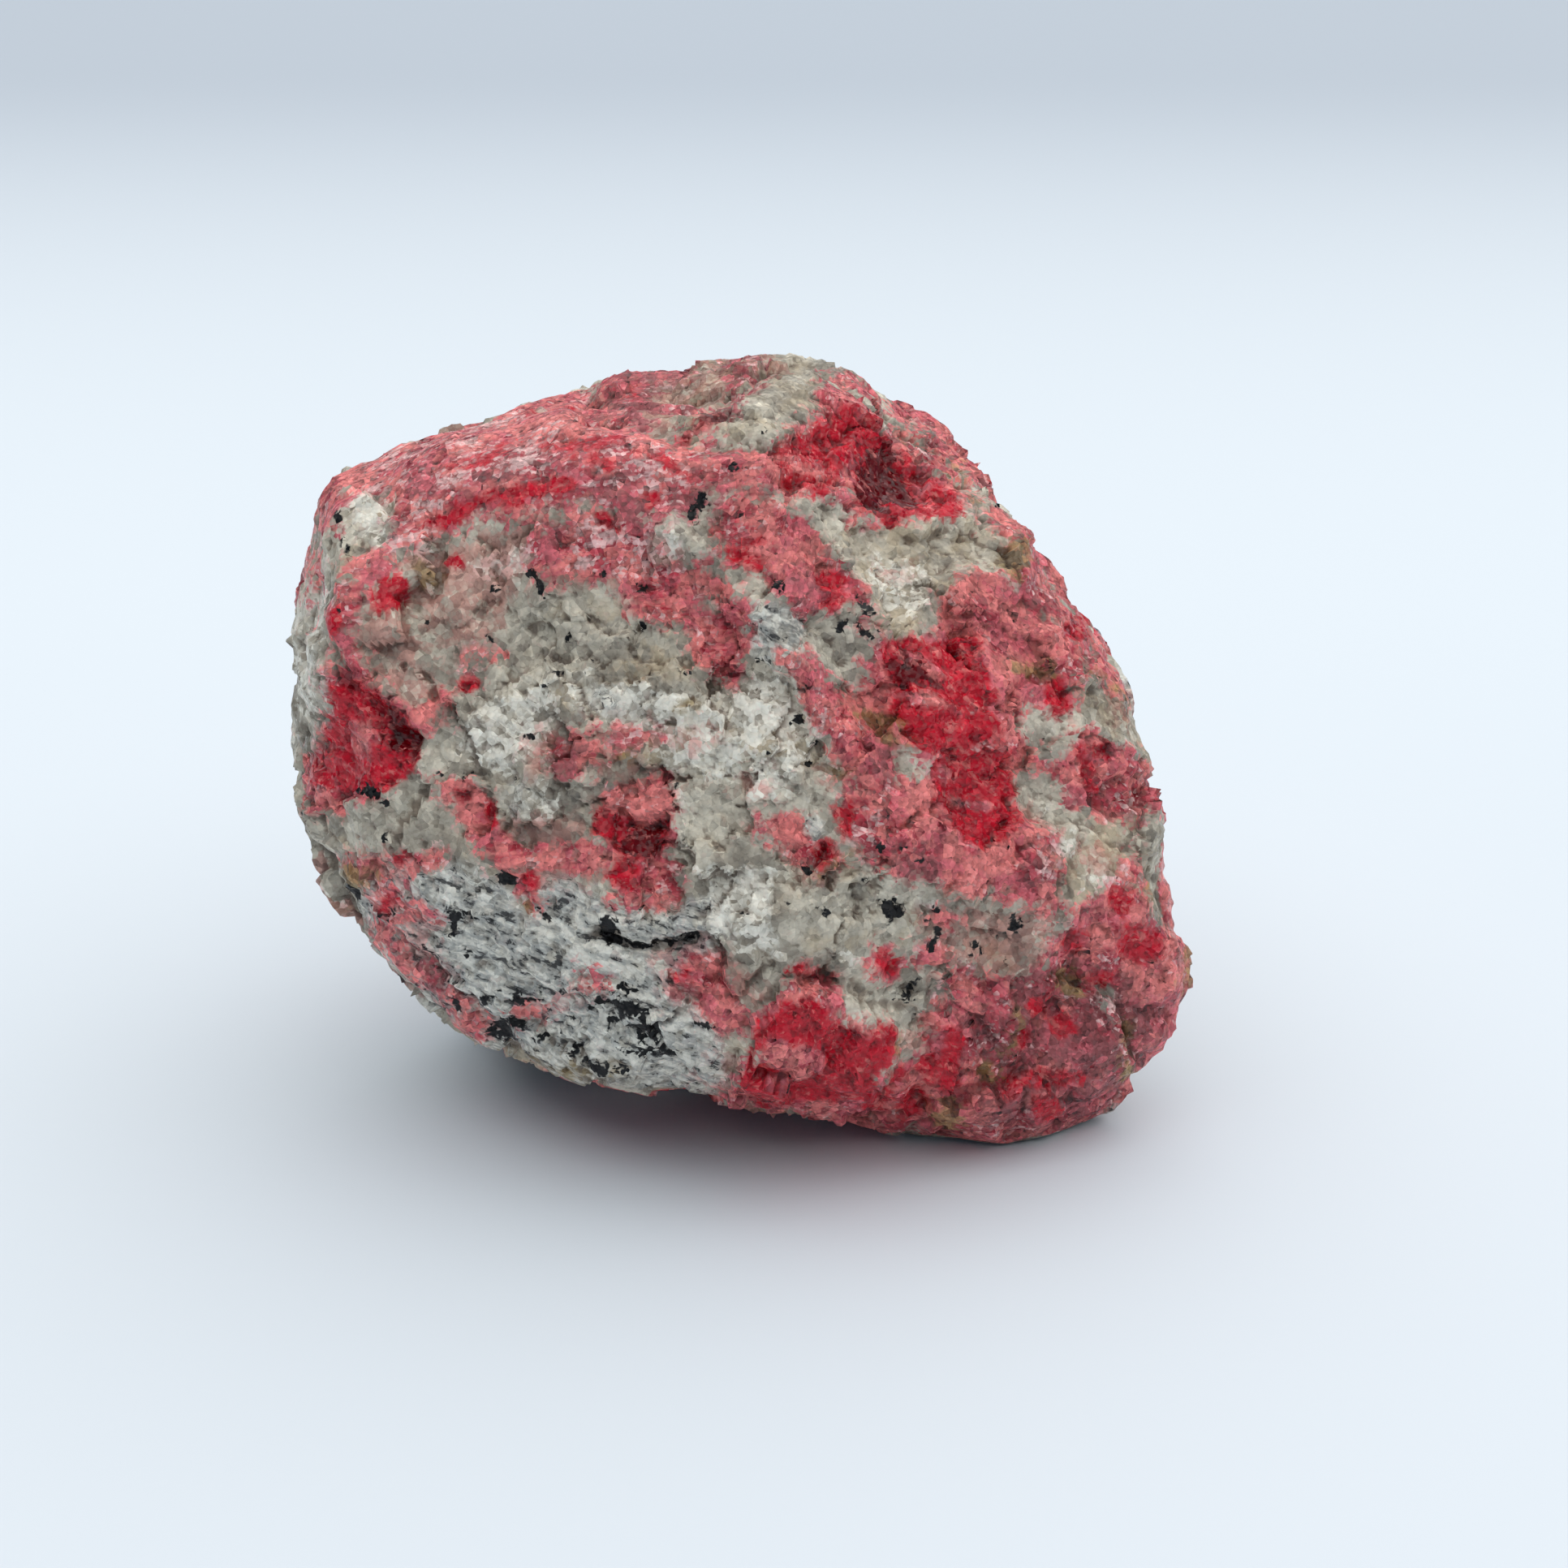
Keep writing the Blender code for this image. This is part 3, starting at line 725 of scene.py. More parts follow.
# ridges and grooves are a height and a width in mm and the line that they follow; terraces are a
# height, the width of their edge and their outline; a negative height goes in
forms = {
    "ridges": {
        "lip of the shoulder": (0.35, 1.1, [
            (430, 705), (480, 682), (560, 650), (640, 640), (720, 648), (800, 652), (850, 680),
        ]),
        "valley behind the shoulder": (-0.9, 1.0, [
            (725, 500), (765, 512), (820, 528), (870, 546), (915, 548), (950, 545),
        ]),
        "rim of the lobe": (0.7, 0.9, [
            (432, 735), (425, 785), (445, 832), (490, 878), (530, 890), (556, 868),
        ]),
        "groove under the lobe": (-0.6, 1.0, [(418, 800), (432, 850), (478, 900), (520, 912)]),
        "groove inside the lobe": (-0.5, 1.4, [(505, 700), (520, 760), (560, 800), (580, 860)]),
        "left corner": (0.5, 1.2, [(425, 640), (430, 700), (415, 780), (400, 850)]),
        "fold": (0.8, 1.2, [(830, 650), (880, 690), (940, 760), (985, 826), (1030, 890), (1062, 940)]),
        "groove below the fold": (-0.6, 1.1, [(800, 720), (850, 760), (925, 800), (970, 870), (1000, 940)]),
        "groove above the fold": (-0.7, 1.0, [(1000, 760), (1045, 820), (1080, 890), (1110, 950)]),
        "edge of the slope": (0.6, 1.1, [(1065, 860), (1075, 790), (1150, 740), (1190, 712), (1240, 712)]),
        "seam at the top right": (-0.45, 0.7, [(1073, 478), (1140, 545), (1200, 592), (1240, 640)]),
        "ridge at the top right": (0.4, 1.0, [(1200, 590), (1240, 630), (1262, 665)]),
        "notch at the top right": (-1.5, 1.9, [(1140, 495), (1160, 510), (1178, 530)]),
        "corner at the lower left": (-1.4, 1.8, [(392, 1070), (402, 1100), (420, 1130)]),
        "upper right edge": (-0.7, 1.5, [(1262, 640), (1290, 680), (1310, 720)]),
        "edge of the red mass": (0.6, 0.9, [(985, 630), (1030, 688), (1062, 740), (1062, 772)]),
        "groove at the right": (-0.6, 1.3, [(1262, 850), (1275, 900), (1300, 950), (1270, 1000)]),
        "ridge at the right": (0.6, 1.5, [(1300, 780), (1330, 850), (1350, 900), (1400, 960)]),
        "slab": (0.5, 0.8, [(745, 1132), (800, 1138), (862, 1142)]),
        "seam under the slab": (-0.9, 0.5, [(735, 1150), (800, 1160), (862, 1162)]),
        "first ledge": (0.7, 0.9, [(430, 1075), (480, 1120), (560, 1190), (640, 1240)]),
        "seam under the first ledge": (-0.7, 0.6, [(436, 1100), (480, 1142), (550, 1206), (625, 1256)]),
        "second ledge": (0.6, 0.9, [(640, 1180), (720, 1215), (800, 1262), (860, 1300)]),
        "seam under the second ledge": (-0.6, 0.6, [(650, 1200), (720, 1234), (790, 1280), (850, 1314)]),
        "edge of the underside": (0.5, 1.2, [(560, 1050), (700, 1075), (830, 1120), (900, 1200)]),
        "groove over the boulder": (-0.7, 0.9, [
            (925, 1262), (960, 1222), (1020, 1205), (1090, 1232), (1135, 1270),
        ]),
        "groove beside the foot": (-0.7, 1.1, [(1130, 1390), (1138, 1320), (1160, 1250), (1200, 1215)]),
        "groove through the foot": (-0.6, 1.0, [(1250, 1390), (1262, 1320), (1300, 1250), (1330, 1180)]),
        "notch above the knob": (-0.9, 1.4, [(1435, 1085), (1448, 1110), (1455, 1140)]),
        "corner under the foot": (-0.9, 2.2, [(1410, 1340), (1370, 1375), (1325, 1398)]),
        "knob at the right": (0.5, 1.4, [(1450, 1170), (1462, 1190), (1460, 1212)]),
        "notch below the knob": (-0.8, 0.9, [(1425, 1252), (1445, 1248), (1475, 1245)]),
        "crack in the quartz": (-0.4, 0.6, [(880, 700), (905, 760), (960, 800)]),
        "crack on the front": (-0.35, 0.6, [(620, 960), (660, 930), (720, 890), (800, 880), (880, 900)]),
        "crack low on the front": (-0.35, 0.6, [(980, 1060), (1050, 1110), (1100, 1180), (1110, 1240)]),
    },
    "terraces": {
        "left patch": (-0.7, 0.5, rose["areas"]["left patch"]),
        "crystal pocket": (-0.9, 0.6, [
            (960, 540), (1005, 515), (1060, 512), (1110, 545), (1150, 590), (1170, 618),
            (1120, 640), (1080, 632), (1040, 590), (985, 612), (950, 590),
        ]),
        "quartz hollow": (-0.7, 0.7, [
            (1000, 640), (1040, 635), (1110, 655), (1215, 640), (1232, 695), (1180, 708),
            (1148, 722), (1132, 765), (1090, 782), (1070, 745), (1045, 690),
        ]),
        "middle": (-0.5, 0.3, [(738, 1002), (765, 968), (828, 960), (832, 1110), (770, 1100)]),
        "cluster": (-0.6, 0.4, [
            (1150, 930), (1200, 918), (1255, 925), (1258, 1000), (1225, 1045), (1170, 1010),
        ]),
        "dark crystal": (-0.5, 0.3, [(1160, 785), (1190, 780), (1215, 800), (1200, 824), (1165, 815)]),
        "far right": (-0.6, 0.4, [
            (1322, 905), (1350, 905), (1400, 935), (1418, 990), (1375, 1008), (1335, 985),
        ]),
        "boulder": (0.8, 0.8, [
            (932, 1275), (960, 1232), (1020, 1215), (1090, 1255), (1100, 1300), (1060, 1360),
            (980, 1365), (900, 1335),
        ]),
        "top of the boulder": (-0.5, 0.3, [
            (955, 1262), (1000, 1250), (1055, 1270), (1045, 1310), (985, 1300),
        ]),
        "bright front": (0.5, 1.0, [
            (560, 860), (700, 820), (900, 840), (1000, 900), (1000, 960), (860, 1000), (830, 950),
            (640, 960),
        ]),
        "bright column": (0.35, 1.2, [
            (840, 960), (920, 960), (980, 1080), (1040, 1180), (960, 1200), (880, 1150), (842, 1110),
        ]),
        "dim hollow": (-0.5, 1.2, [(660, 740), (780, 740), (850, 790), (850, 830), (740, 825), (650, 810)]),
    },
}


# the same minerals on the sides that the camera doesn't see: how wide their patches are, how much
# of the noise they fill (a higher bar leaves less), how far they gather in some parts of the stone,
# and where in the noise each one is read
unseen = {
    "rose": {"width": 17.0, "bar": 0.03, "gather": 0.0, "place": 3.1},
    "crimson": {"width": 7.5, "bar": 0.3, "gather": 0.6, "place": 17.7},
    "ink": {"width": 1.5, "bar": 0.8, "gather": 1.1, "place": 31.3},
    "rust": {"width": 4.0, "bar": 0.75, "gather": 0.6, "place": 43.9},
    "mauve": {"width": 7.0, "bar": 0.15, "gather": 0.3, "place": 57.1},
    "smoke": {"width": 7.0, "bar": 0.1, "gather": 0.3, "place": 61.7},
    "chalk": {"width": 6.0, "bar": 0.1, "gather": 0.3, "place": 73.3},
    "cream": {"width": 9.0, "bar": 0.1, "gather": 0.3, "place": 87.9},
    "blush": {"width": 8.0, "bar": 0.05, "gather": 0.3, "place": 3.4},
    "cool": {"width": 12.0, "bar": 0.2, "gather": 0.3, "place": 97.1},
}
# the parts of the stone that they gather in: their width in mm, and how the noise is read for them
gathering = {"width": 16.0, "shift": 5, "octaves": 1}
patchOctaves = 4
octaveSteps = (1.0, 2.0)  # how fast the octaves of the noise fade, and how much finer each one is
fieldReach = 3.0  # mm to either side of a mineral's edge that its field tells apart
toneReach = 1.0  # and for those that only change a tone
redBeyondRose = 0.5  # mm that red crystals may reach past the rose mineral where nothing is seen
wander = ((3.2, 0.55), (1.1, 0.3))  # width and reach, in mm, of the bends in every mineral's edge
wanderStarts = (51.7, 66.1)  # where in the noise they are read, across and down
drifts = {"drift": (4.5, 71.1, 3), "driftToo": (2.4, 83.9, 2)}  # width, place and octaves of slow changes
hollowRounds = 10  # of smoothing, to tell crevices from crests


def fractalAt(places, width, start, octaves=2):
    shift = Vector((start, 2 * start, -start))
    return np.array([
        noise.fractal(Vector(place) / width + shift, *octaveSteps, octaves) for place in places
    ])


def ease(values, low, high):
    share = np.clip((values - low) / (high - low), 0, 1)
    return share * share * (3 - 2 * share)


places = points / mm


def bendsAt(starts, width, octaves=2):
    return np.stack([fractalAt(places, width, start, octaves) for start in starts], axis=1)


# the grains: their width in mm, how their seams bend (reach, width and octaves of the bends, and where
# in the noise they are read), and a shift that keeps the fine ones apart from the coarse
grainKinds = {
    "coarse": {"width": 1.45, "bend": (0.3, 1.6, 2), "starts": (4.1, 8.3, 12.9), "shift": 0.0},
    "fine": {"width": 0.75, "shift": 3.7},
    "chunk": {"width": 5.2, "bend": (1.5, 3.4, 3), "starts": (13.1, 16.3, 19.9), "shift": 0.0},
}
grainsApart = 7.13  # spreads the grains out in the noise that gives each one its own numbers


# the middle of the grain that each point lies in, and three random numbers that belong to that grain
def grainsOf(kind):
    rule = grainKinds[kind]
    moved = places + rule["shift"]
    if "bend" in rule:
        bendReach, bendWidth, octaves = rule["bend"]
        moved = moved + bendReach * bendsAt(rule["starts"], bendWidth, octaves)
    middles, owns = np.empty(places.shape), np.empty(places.shape)
    for index, place in enumerate(moved):
        nearestCell = noise.voronoi(Vector(place) / rule["width"])[1][0]
        middles[index] = nearestCell * rule["width"]
        owns[index] = noise.cell_vector(nearestCell * grainsApart)
    return {"middle": middles - rule["shift"], "own": owns}


grains = {kind: grainsOf(kind) for kind in grainKinds}
print("grains laid out")

# a mineral's edge wanders, and partly follows the grains
bend = sum(
    wanderReach * pixelsPerMm * bendsAt(wanderStarts, width) for width, wanderReach in wander
)
here = placeInPicture(points) + bend
inCoarse = placeInPicture(grains["coarse"]["middle"] * mm) + bend
inFine = placeInPicture(grains["fine"]["middle"] * mm) + bend


# each mineral: its marks, the shares of it that follow the coarse and the fine grains, and its reach
minerals = {
    "rose": (rose, 0.35, 0.3, fieldReach),
    "crimson": (crimson, 0.0, 0.4, fieldReach),
    "ink": (ink, 0.0, 0.25, fieldReach),
    "rust": (rust, 0.0, 0.3, fieldReach),
    "mauve": (mauve, 0.4, 0.3, toneReach),
    "smoke": (smoke, 0.4, 0.3, toneReach),
    "chalk": (chalk, 0.4, 0.3, toneReach),
    "cream": (cream, 0.5, 0.2, toneReach),
    "blush": (blush, 0.3, 0.2, toneReach),
    "cool": (cool, 0.4, 0.2, toneReach),
}


def spread(name):
    marks, coarse, fine, reach = minerals[name]
    shown = (1 - coarse - fine) * painted(marks, here)
    shown += coarse * painted(marks, inCoarse)
    shown += fine * painted(marks, inFine)
    rule = unseen[name]
    hidden = fractalAt(places, rule["width"], rule["place"], patchOctaves) - rule["bar"]
    gatherPlace = rule["place"] + gathering["shift"]
    gathered = fractalAt(places, gathering["width"], gatherPlace, gathering["octaves"])
    hidden = (hidden + rule["gather"] * gathered) * rule["width"]
    return np.clip(seen * shown + (1 - seen) * hidden, -reach, reach)


fields = {name: spread(name) for name in minerals}
# on the sides that the camera doesn't see, red crystals lie only within the rose mineral
inRose = np.minimum(fields["crimson"], fields["rose"] + redBeyondRose)
fields["crimson"] = seen * fields["crimson"] + (1 - seen) * inRose
print("minerals laid out:", {name: round(float((f > 0).mean()), 3) for name, f in fields.items()})


def handMade():
    height = np.zeros(len(points))
    for rise, width, line in forms["ridges"].values():
        height += rise * np.exp(-((fromLine(here, line) / pixelsPerMm / width) ** 2))
    for rise, width, corners in forms["terraces"].values():
        height += rise * ease(insideArea(inCoarse, corners) / pixelsPerMm, -width, width)
    return height * seen


# relief below the size of the solid's own lumps, in mm
relief = {
    "chunk": (0.2, 0.2),  # slopes and steps of the broken faces of the grains
    "coarse": (0.2, 0.13),
    "fine": (0.18, 0.08),
    "fineLeft": 0.3,  # of the fine faces where the points lie too far apart for them
    "fineFacing": (0.1, 0.55),  # how squarely the surface faces the camera where that ends
    "inRose": 0.5,  # how much of the coarse and fine faces is left in the rose mineral
    "inCrimson": 0.6,  # and in the red crystals
    "onShoulder": 0.35,  # and of all of it on the smooth shoulder
    "streak": (1.0, 0.25),  # thickness and height of the steps in the rose mineral
    "streakStretch": (0.28, 1.0, 1.0),
    "streakStart": 21.3,
    "crimsonDepth": 0.15,
    "inkDepth": 0.12,
    "edgeStep": 0.12,  # the rose mineral stands this much proud of the quartz
    "roseEdge": (-0.3, 0.3),  # how softly each relief begins at its mineral's edge
    "crimsonEdge": (-0.3, 0.4),
    "inkEdge": (-0.12, 0.12),
    "shoulderEdge": (-1.0, 1.5),
    "footing": 2.0,  # nothing stands out from the face it rests on, and all of it above this height
    "margin": 0.5,  # the most that anything stands out past the solid's own box
}
roseShare = ease(fields["rose"], *relief["roseEdge"])
crimsonShare = ease(fields["crimson"], *relief["crimsonEdge"])
inkShare = ease(fields["ink"], *relief["inkEdge"])


# flat faces, each tilted and raised or lowered by itself, so that steps are left between them
def faceted(kind):
    slope, step = relief[kind]
    own = grains[kind]["own"] - 0.5
    tilted = ((places - grains[kind]["middle"]) * own).sum(axis=1) * 2 * slope
    return tilted + step * own[:, 0]


fineShare = relief["fineLeft"] + (1 - relief["fineLeft"]) * ease(facing, *relief["fineFacing"])
kept = 1 - (1 - relief["inRose"]) * roseShare
kept = kept + (relief["inCrimson"] - kept) * crimsonShare
streakWidth, streakRise = relief["streak"]
stretched = places * np.array(relief["streakStretch"])
streaks = streakRise * fractalAt(stretched, streakWidth, relief["streakStart"])
small = kept * (faceted("coarse") + fineShare * faceted("fine"))
small += roseShare * (streaks + relief["edgeStep"])
small -= relief["crimsonDepth"] * crimsonShare + relief["inkDepth"] * inkShare
inShoulder = insideArea(here, rose["areas"]["shoulder"]) / pixelsPerMm
onShoulder = ease(inShoulder, *relief["shoulderEdge"]) * seen
height = handMade() + (1 - (1 - relief["onShoulder"]) * onShoulder) * (faceted("chunk") + small)
footing = ease(points[:, 2], 0.0, relief["footing"] * mm)
carved = points + normals * (height * footing)[:, None] * mm
margin = relief["margin"] * mm
low, high = np.array(cadBox[0]) - margin, np.array(cadBox[1]) + margin
low[2] = 0.0
moveTo(stoneMesh, np.clip(carved, low, high))
stoneMesh.shade_smooth()
print("surface carved, from", round(float(height.min()), 2), "to", round(float(height.max()), 2), "mm")

# the hollow field also sets where shade is painted into the crevices
fields["hollow"] = settled(height, edges, hollowRounds) - height  # above 0 in crevices, below on crests
for name, (width, start, octaves) in drifts.items():
    fields[name] = fractalAt(places, width, start, octaves)
fields["grainTone"] = grains["coarse"]["own"][:, 1] - 0.5
fields["grainHue"] = grains["coarse"]["own"][:, 2] - 0.5
for name, field in fields.items():
    stored = stoneMesh.attributes.new(name, "FLOAT", "POINT")
    stored.data.foreach_set("value", field.astype(np.float32))


# the cube's six sides, side by side on one sheet
def layOut(mesh, gap=0.01):
    sheet = mesh.uv_layers.new(name="OFBake")
    flat = np.empty(len(mesh.loops), np.int32)
    mesh.loops.foreach_get("vertex_index", flat)
    corners = cubePlaces[flat]
    middles = np.repeat(corners.reshape(-1, 4, 3).mean(axis=1), 4, axis=0)
    axis = np.abs(middles).argmax(axis=1)
    rows = np.arange(len(corners))
    side = (middles[rows, axis] > 0).astype(int)
    across = corners[rows, (axis + 1) % 3]
    down = corners[rows, (axis + 2) % 3]
    u = (axis + gap + (1 - 2 * gap) * (across + 1) / 2) / 3
    v = (side + gap + (1 - 2 * gap) * (down + 1) / 2) / 2
    sheet.data.foreach_set("uv", np.stack([u, v], axis=1).astype(np.float32).ravel())


layOut(stoneMesh)
stone = bpy.data.objects.new("rhodonite", stoneMesh)
bpy.context.scene.collection.objects.link(stone)


# one socket of a material's nodes, which can be calculated with
class Wire:
    def __init__(self, tree, socket=None):
        self.tree, self.socket = tree, socket

    def node(self, kind, settings, sockets, output=0):
        made = self.tree.nodes.new(kind)
        for name, value in settings.items():
            setattr(made, name, value)
        for name, value in sockets.items():
            if isinstance(value, Wire):
                self.tree.links.new(value.socket, made.inputs[name])
            else:
                made.inputs[name].default_value = value
        return Wire(self.tree, made.outputs[output])

    def maths(self, operation, first, second):
        return self.node("ShaderNodeMath", {"operation": operation}, {0: first, 1: second})

    def __add__(self, other):
        return self.maths("ADD", self, other)

    def __radd__(self, other):
        return self.maths("ADD", other, self)

    def __sub__(self, other):
        return self.maths("SUBTRACT", self, other)

    def __rsub__(self, other):
        return self.maths("SUBTRACT", other, self)

    def __mul__(self, other):
        return self.maths("MULTIPLY", self, other)

    def __rmul__(self, other):
        return self.maths("MULTIPLY", other, self)

    # 0 below low and 1 above high, with a soft run between them
    def rise(self, low, high):
        settings = {"interpolation_type": "SMOOTHSTEP"}
        return self.node(
            "ShaderNodeMapRange", settings, {"Value": self, "From Min": low, "From Max": high}
        )

    # this value says how much of the second colour covers the first
    def mix(self, first, second, blend="MIX"):
        first, second = (c if isinstance(c, Wire) else (*c, 1) for c in (first, second))
        settings = {"data_type": "RGBA", "blend_type": blend}
        return self.node("ShaderNodeMix", settings, {0: self, 6: first, 7: second}, 2)

    def vector(self, operation, other, output="Vector"):
        settings = {"operation": operation}
        return self.node("ShaderNodeVectorMath", settings, {0: self, 1: other}, output)

    def noise(self, scale, detail, roughness, output=0):
        sockets = {"Vector": self, "Scale": scale, "Detail": detail, "Roughness": roughness}
        return self.node("ShaderNodeTexNoise", {}, sockets, output)

    def turned(self, degrees, stretch):
        settings = {"rotation_type": "Y_AXIS"}
        sockets = {"Vector": self, "Angle": math.radians(degrees)}
        return self.node("ShaderNodeVectorRotate", settings, sockets).vector("MULTIPLY", stretch)

    # the grains of a size: a random colour and the height of a tilted face, for each of them
    def grains(self, scale):
        own = self.node("ShaderNodeTexVoronoi", {}, {"Vector": self, "Scale": scale}, "Color")
        middle = Wire(self.tree, own.socket.node.outputs["Position"])
        slope = own.vector("SUBTRACT", (0.5, 0.5, 0.5))
        face = self.vector("SUBTRACT", middle).vector("DOT_PRODUCT", slope, "Value")
        return own, face

    def channels(self):
        first = self.node("ShaderNodeSeparateColor", {}, {"Color": self})
        return [Wire(self.tree, output) for output in first.socket.node.outputs]


def newMaterial(name):
    material = bpy.data.materials.new(name)
    material.use_nodes = True
    return material, Wire(material.node_tree), material.node_tree.nodes["Principled BSDF"]


# colours are linear red, green and blue, and scales are grains or patches to the millimetre
finish = {
    "quartzClear": (0.31, 0.27, 0.215),
    "quartzMilky": (0.75, 0.68, 0.55),
    "quartzWarm": (0.62, 0.50, 0.34),
    "quartzBlue": (0.50, 0.51, 0.485),
    "quartzSmoky": (0.14, 0.122, 0.105),
    "quartzSnow": (1.0, 0.955, 0.84),
    "seam": (0.03, 0.029, 0.032),
    "blush": (0.98, 0.60, 0.60),
    "rose": (0.67, 0.145, 0.17),
    "roseDeep": (0.45, 0.04, 0.06),
    "roseSalmon": (0.86, 0.245, 0.22),
    "rosePale": (0.92, 0.60, 0.57),
    "roseMauve": (0.25, 0.085, 0.085),
    "crimson": (0.62, 0.012, 0.030),
    "crimsonDeep": (0.13, 0.001, 0.004),
    "ink": (0.006, 0.006, 0.007),
    "rust": (0.15, 0.08, 0.025),
    "ochre": (0.40, 0.28, 0.11),
    # painted shade: the colour that the crevices are darkened with
    "creviceShade": (0.50, 0.45, 0.43),
    "crystalScale": 1.25,
    "fleckScale": 3.2,
    "raggedNoise": (1.2, 2, 0.5),  # scale, detail and roughness
    "streakNoise": (2.0, 3, 0.6),
    "levelStreaks": (6, (0.2, 1.0, 1.0)),  # how far the streaks slant, in degrees, and how long they are
    "slantingStreaks": (-40, (0.15, 0.7, 0.7)),
    "shallowStreaks": (-20, (0.2, 0.8, 0.8)),
    "slopeFrom": (2.0, 9.0),  # mm to the right between which they turn to the right slope's slant
    "layersFrom": (-0.3, 0.5),  # mm inside the layered corner between which its layers come in
    "brightness": 0.93,
    # painted light and shade: how strongly each crystal and fleck is made lighter or darker
    "quartzGlint": 0.42,  # how much the light on each crystal and fleck differs
    "roseGlint": 0.63,  # and how much more in the rose mineral
    "redGlintLost": 0.5,  # and how much less on the flecks of red crystals
    "roughness": 0.46,
    "roughnessSpread": 0.5,
    "redSmoother": 0.2,
    "bumpHeight": 0.8 * mm,
    "shine": 0.3,
    "glow": 0.06,  # share of the light that soaks in
    "glowReach": (1.0, 0.7, 0.6),
    "glowDepth": 0.5 * mm,
}

# Where each colour covers the one before it: the sum of its ingredients at which it begins and at which
# it is full, how much it then covers, and the weights of the ingredients. Crystals, flecks and the ragged
# noise have three numbers each, between -0.5 and 0.5, and the rest are fields of the surface.
recipes = {
    "quartzMilky": (-0.85, 0.75, 1.0, {
        "crystal1": 0.7, "fleck1": 0.4, "grainTone": 0.4, "ragged1": 0.5, "drift": 0.9,
    }),
    "quartzWarm": (-0.1, 0.9, 0.8, {
        "cream": 0.4, "grainHue": 0.5, "crystal2": 0.5, "ragged2": 0.5, "driftToo": 0.5,
    }),
    "quartzBlue": (-0.2, 0.7, 0.8, {"cool": 0.5, "crystal3": 0.6, "ragged3": 0.8}),
    "quartzSmoky": (0.0, 0.9, 0.55, {"smoke": 0.5, "crystal2": 0.7, "fleck2": 0.4, "ragged1": 0.8}),
    # white quartz in the chalk field, and scattered white crystals and flecks that are partly painted
    # highlights
    "quartzSnow": (0.1, 0.8, 0.8, {
        "chalk": 0.6, "crystal1": 0.6, "fleck1": 0.6, "grainTone": 0.3, "ragged2": 0.5,
    }),
    "pale layer": (-0.25, 0.45, 0.8, {"layer": 1.0}),
    "seam": (0.32, 0.6, 0.9, {"layer": -1.0}),
    "blush": (-0.3, 0.9, 1.0, {"blush": 0.6, "crystal3": 0.9, "fleck2": 0.5, "ragged3": 0.6}),
    "rose": (-0.4, 0.3, 1.0, {"streak": 2.0, "crystal1": 0.6, "fleck1": 0.4, "drift": 0.8}),
    "roseSalmon": (-0.15, 0.35, 0.85, {
        "streak": 1.4, "crystal2": 0.5, "fleck2": 0.3, "driftToo": 0.6, "mauve": -0.15,
    }),
    "roseMauve": (-0.1, 0.6, 0.75, {"mauve": 0.4, "crystal3": 0.8, "fleck2": 0.4, "ragged3": 0.7}),
    # pale pink crystals and flecks, partly painted highlights on the rose mineral
    "rosePale": (0.15, 0.8, 0.85, {
        "fleck1": 0.7, "crystal3": -0.5, "grainTone": 0.3, "streak": -2.2, "drift": -0.5, "chalk": 0.2,
    }),
    "rose on quartz": (-0.55, 0.45, 1.0, {"rose": 1.0, "ragged1": 0.6, "crystal1": 1.0, "fleck1": 0.7}),
    "crimsonDeep": (-0.5, 0.25, 1.0, {
        "crystal1": 0.8, "fleck2": 0.4, "ragged2": 0.5, "driftToo": 0.6, "smoke": 0.7,
    }),
    # salmon veins in the red crystals, partly painted highlights on their glassy faces
    "pink vein and sheen": (0.2, 0.65, 0.65, {"streak": 2.6, "fleck1": 0.5, "crystal2": 0.4}),
    "red on the rest": (-0.4, 0.15, 1.0, {
        "crimson": 1.0, "streak": 0.5, "ragged2": 0.4, "crystal2": 0.4, "fleck2": 0.2,
    }),
    "rust": (-0.45, 0.3, 0.8, {"rust": 1.0, "ragged3": 0.7, "crystal3": 0.5, "fleck2": 0.3}),
    "ink": (-0.04, 0.1, 1.0, {"ink": 1.0, "ragged1": 0.6, "crystal2": 0.3, "fleck2": 0.3}),
    # painted shade, darkening the crevices where the hollow field is above 0
    "crevice shade": (0.02, 0.28, 1.0, {"hollow": 1.0, "fleck2": 0.1}),
}
layerWeights = {"crystal2": 0.35, "fleck1": 0.3, "drift": 0.3, "streak": 4.0}
# the weights of the painted light and shade on the flecks and on the crystals
fleckGlint = {"fleck3": 0.5, "fleckFace": 1.8}
crystalGlint = {"crystal1": 0.35, "crystalFace": 1.0}


def summed(parts, weights):
    first, *others = [parts[name] * weight for name, weight in weights.items()]
    return sum(others, first)


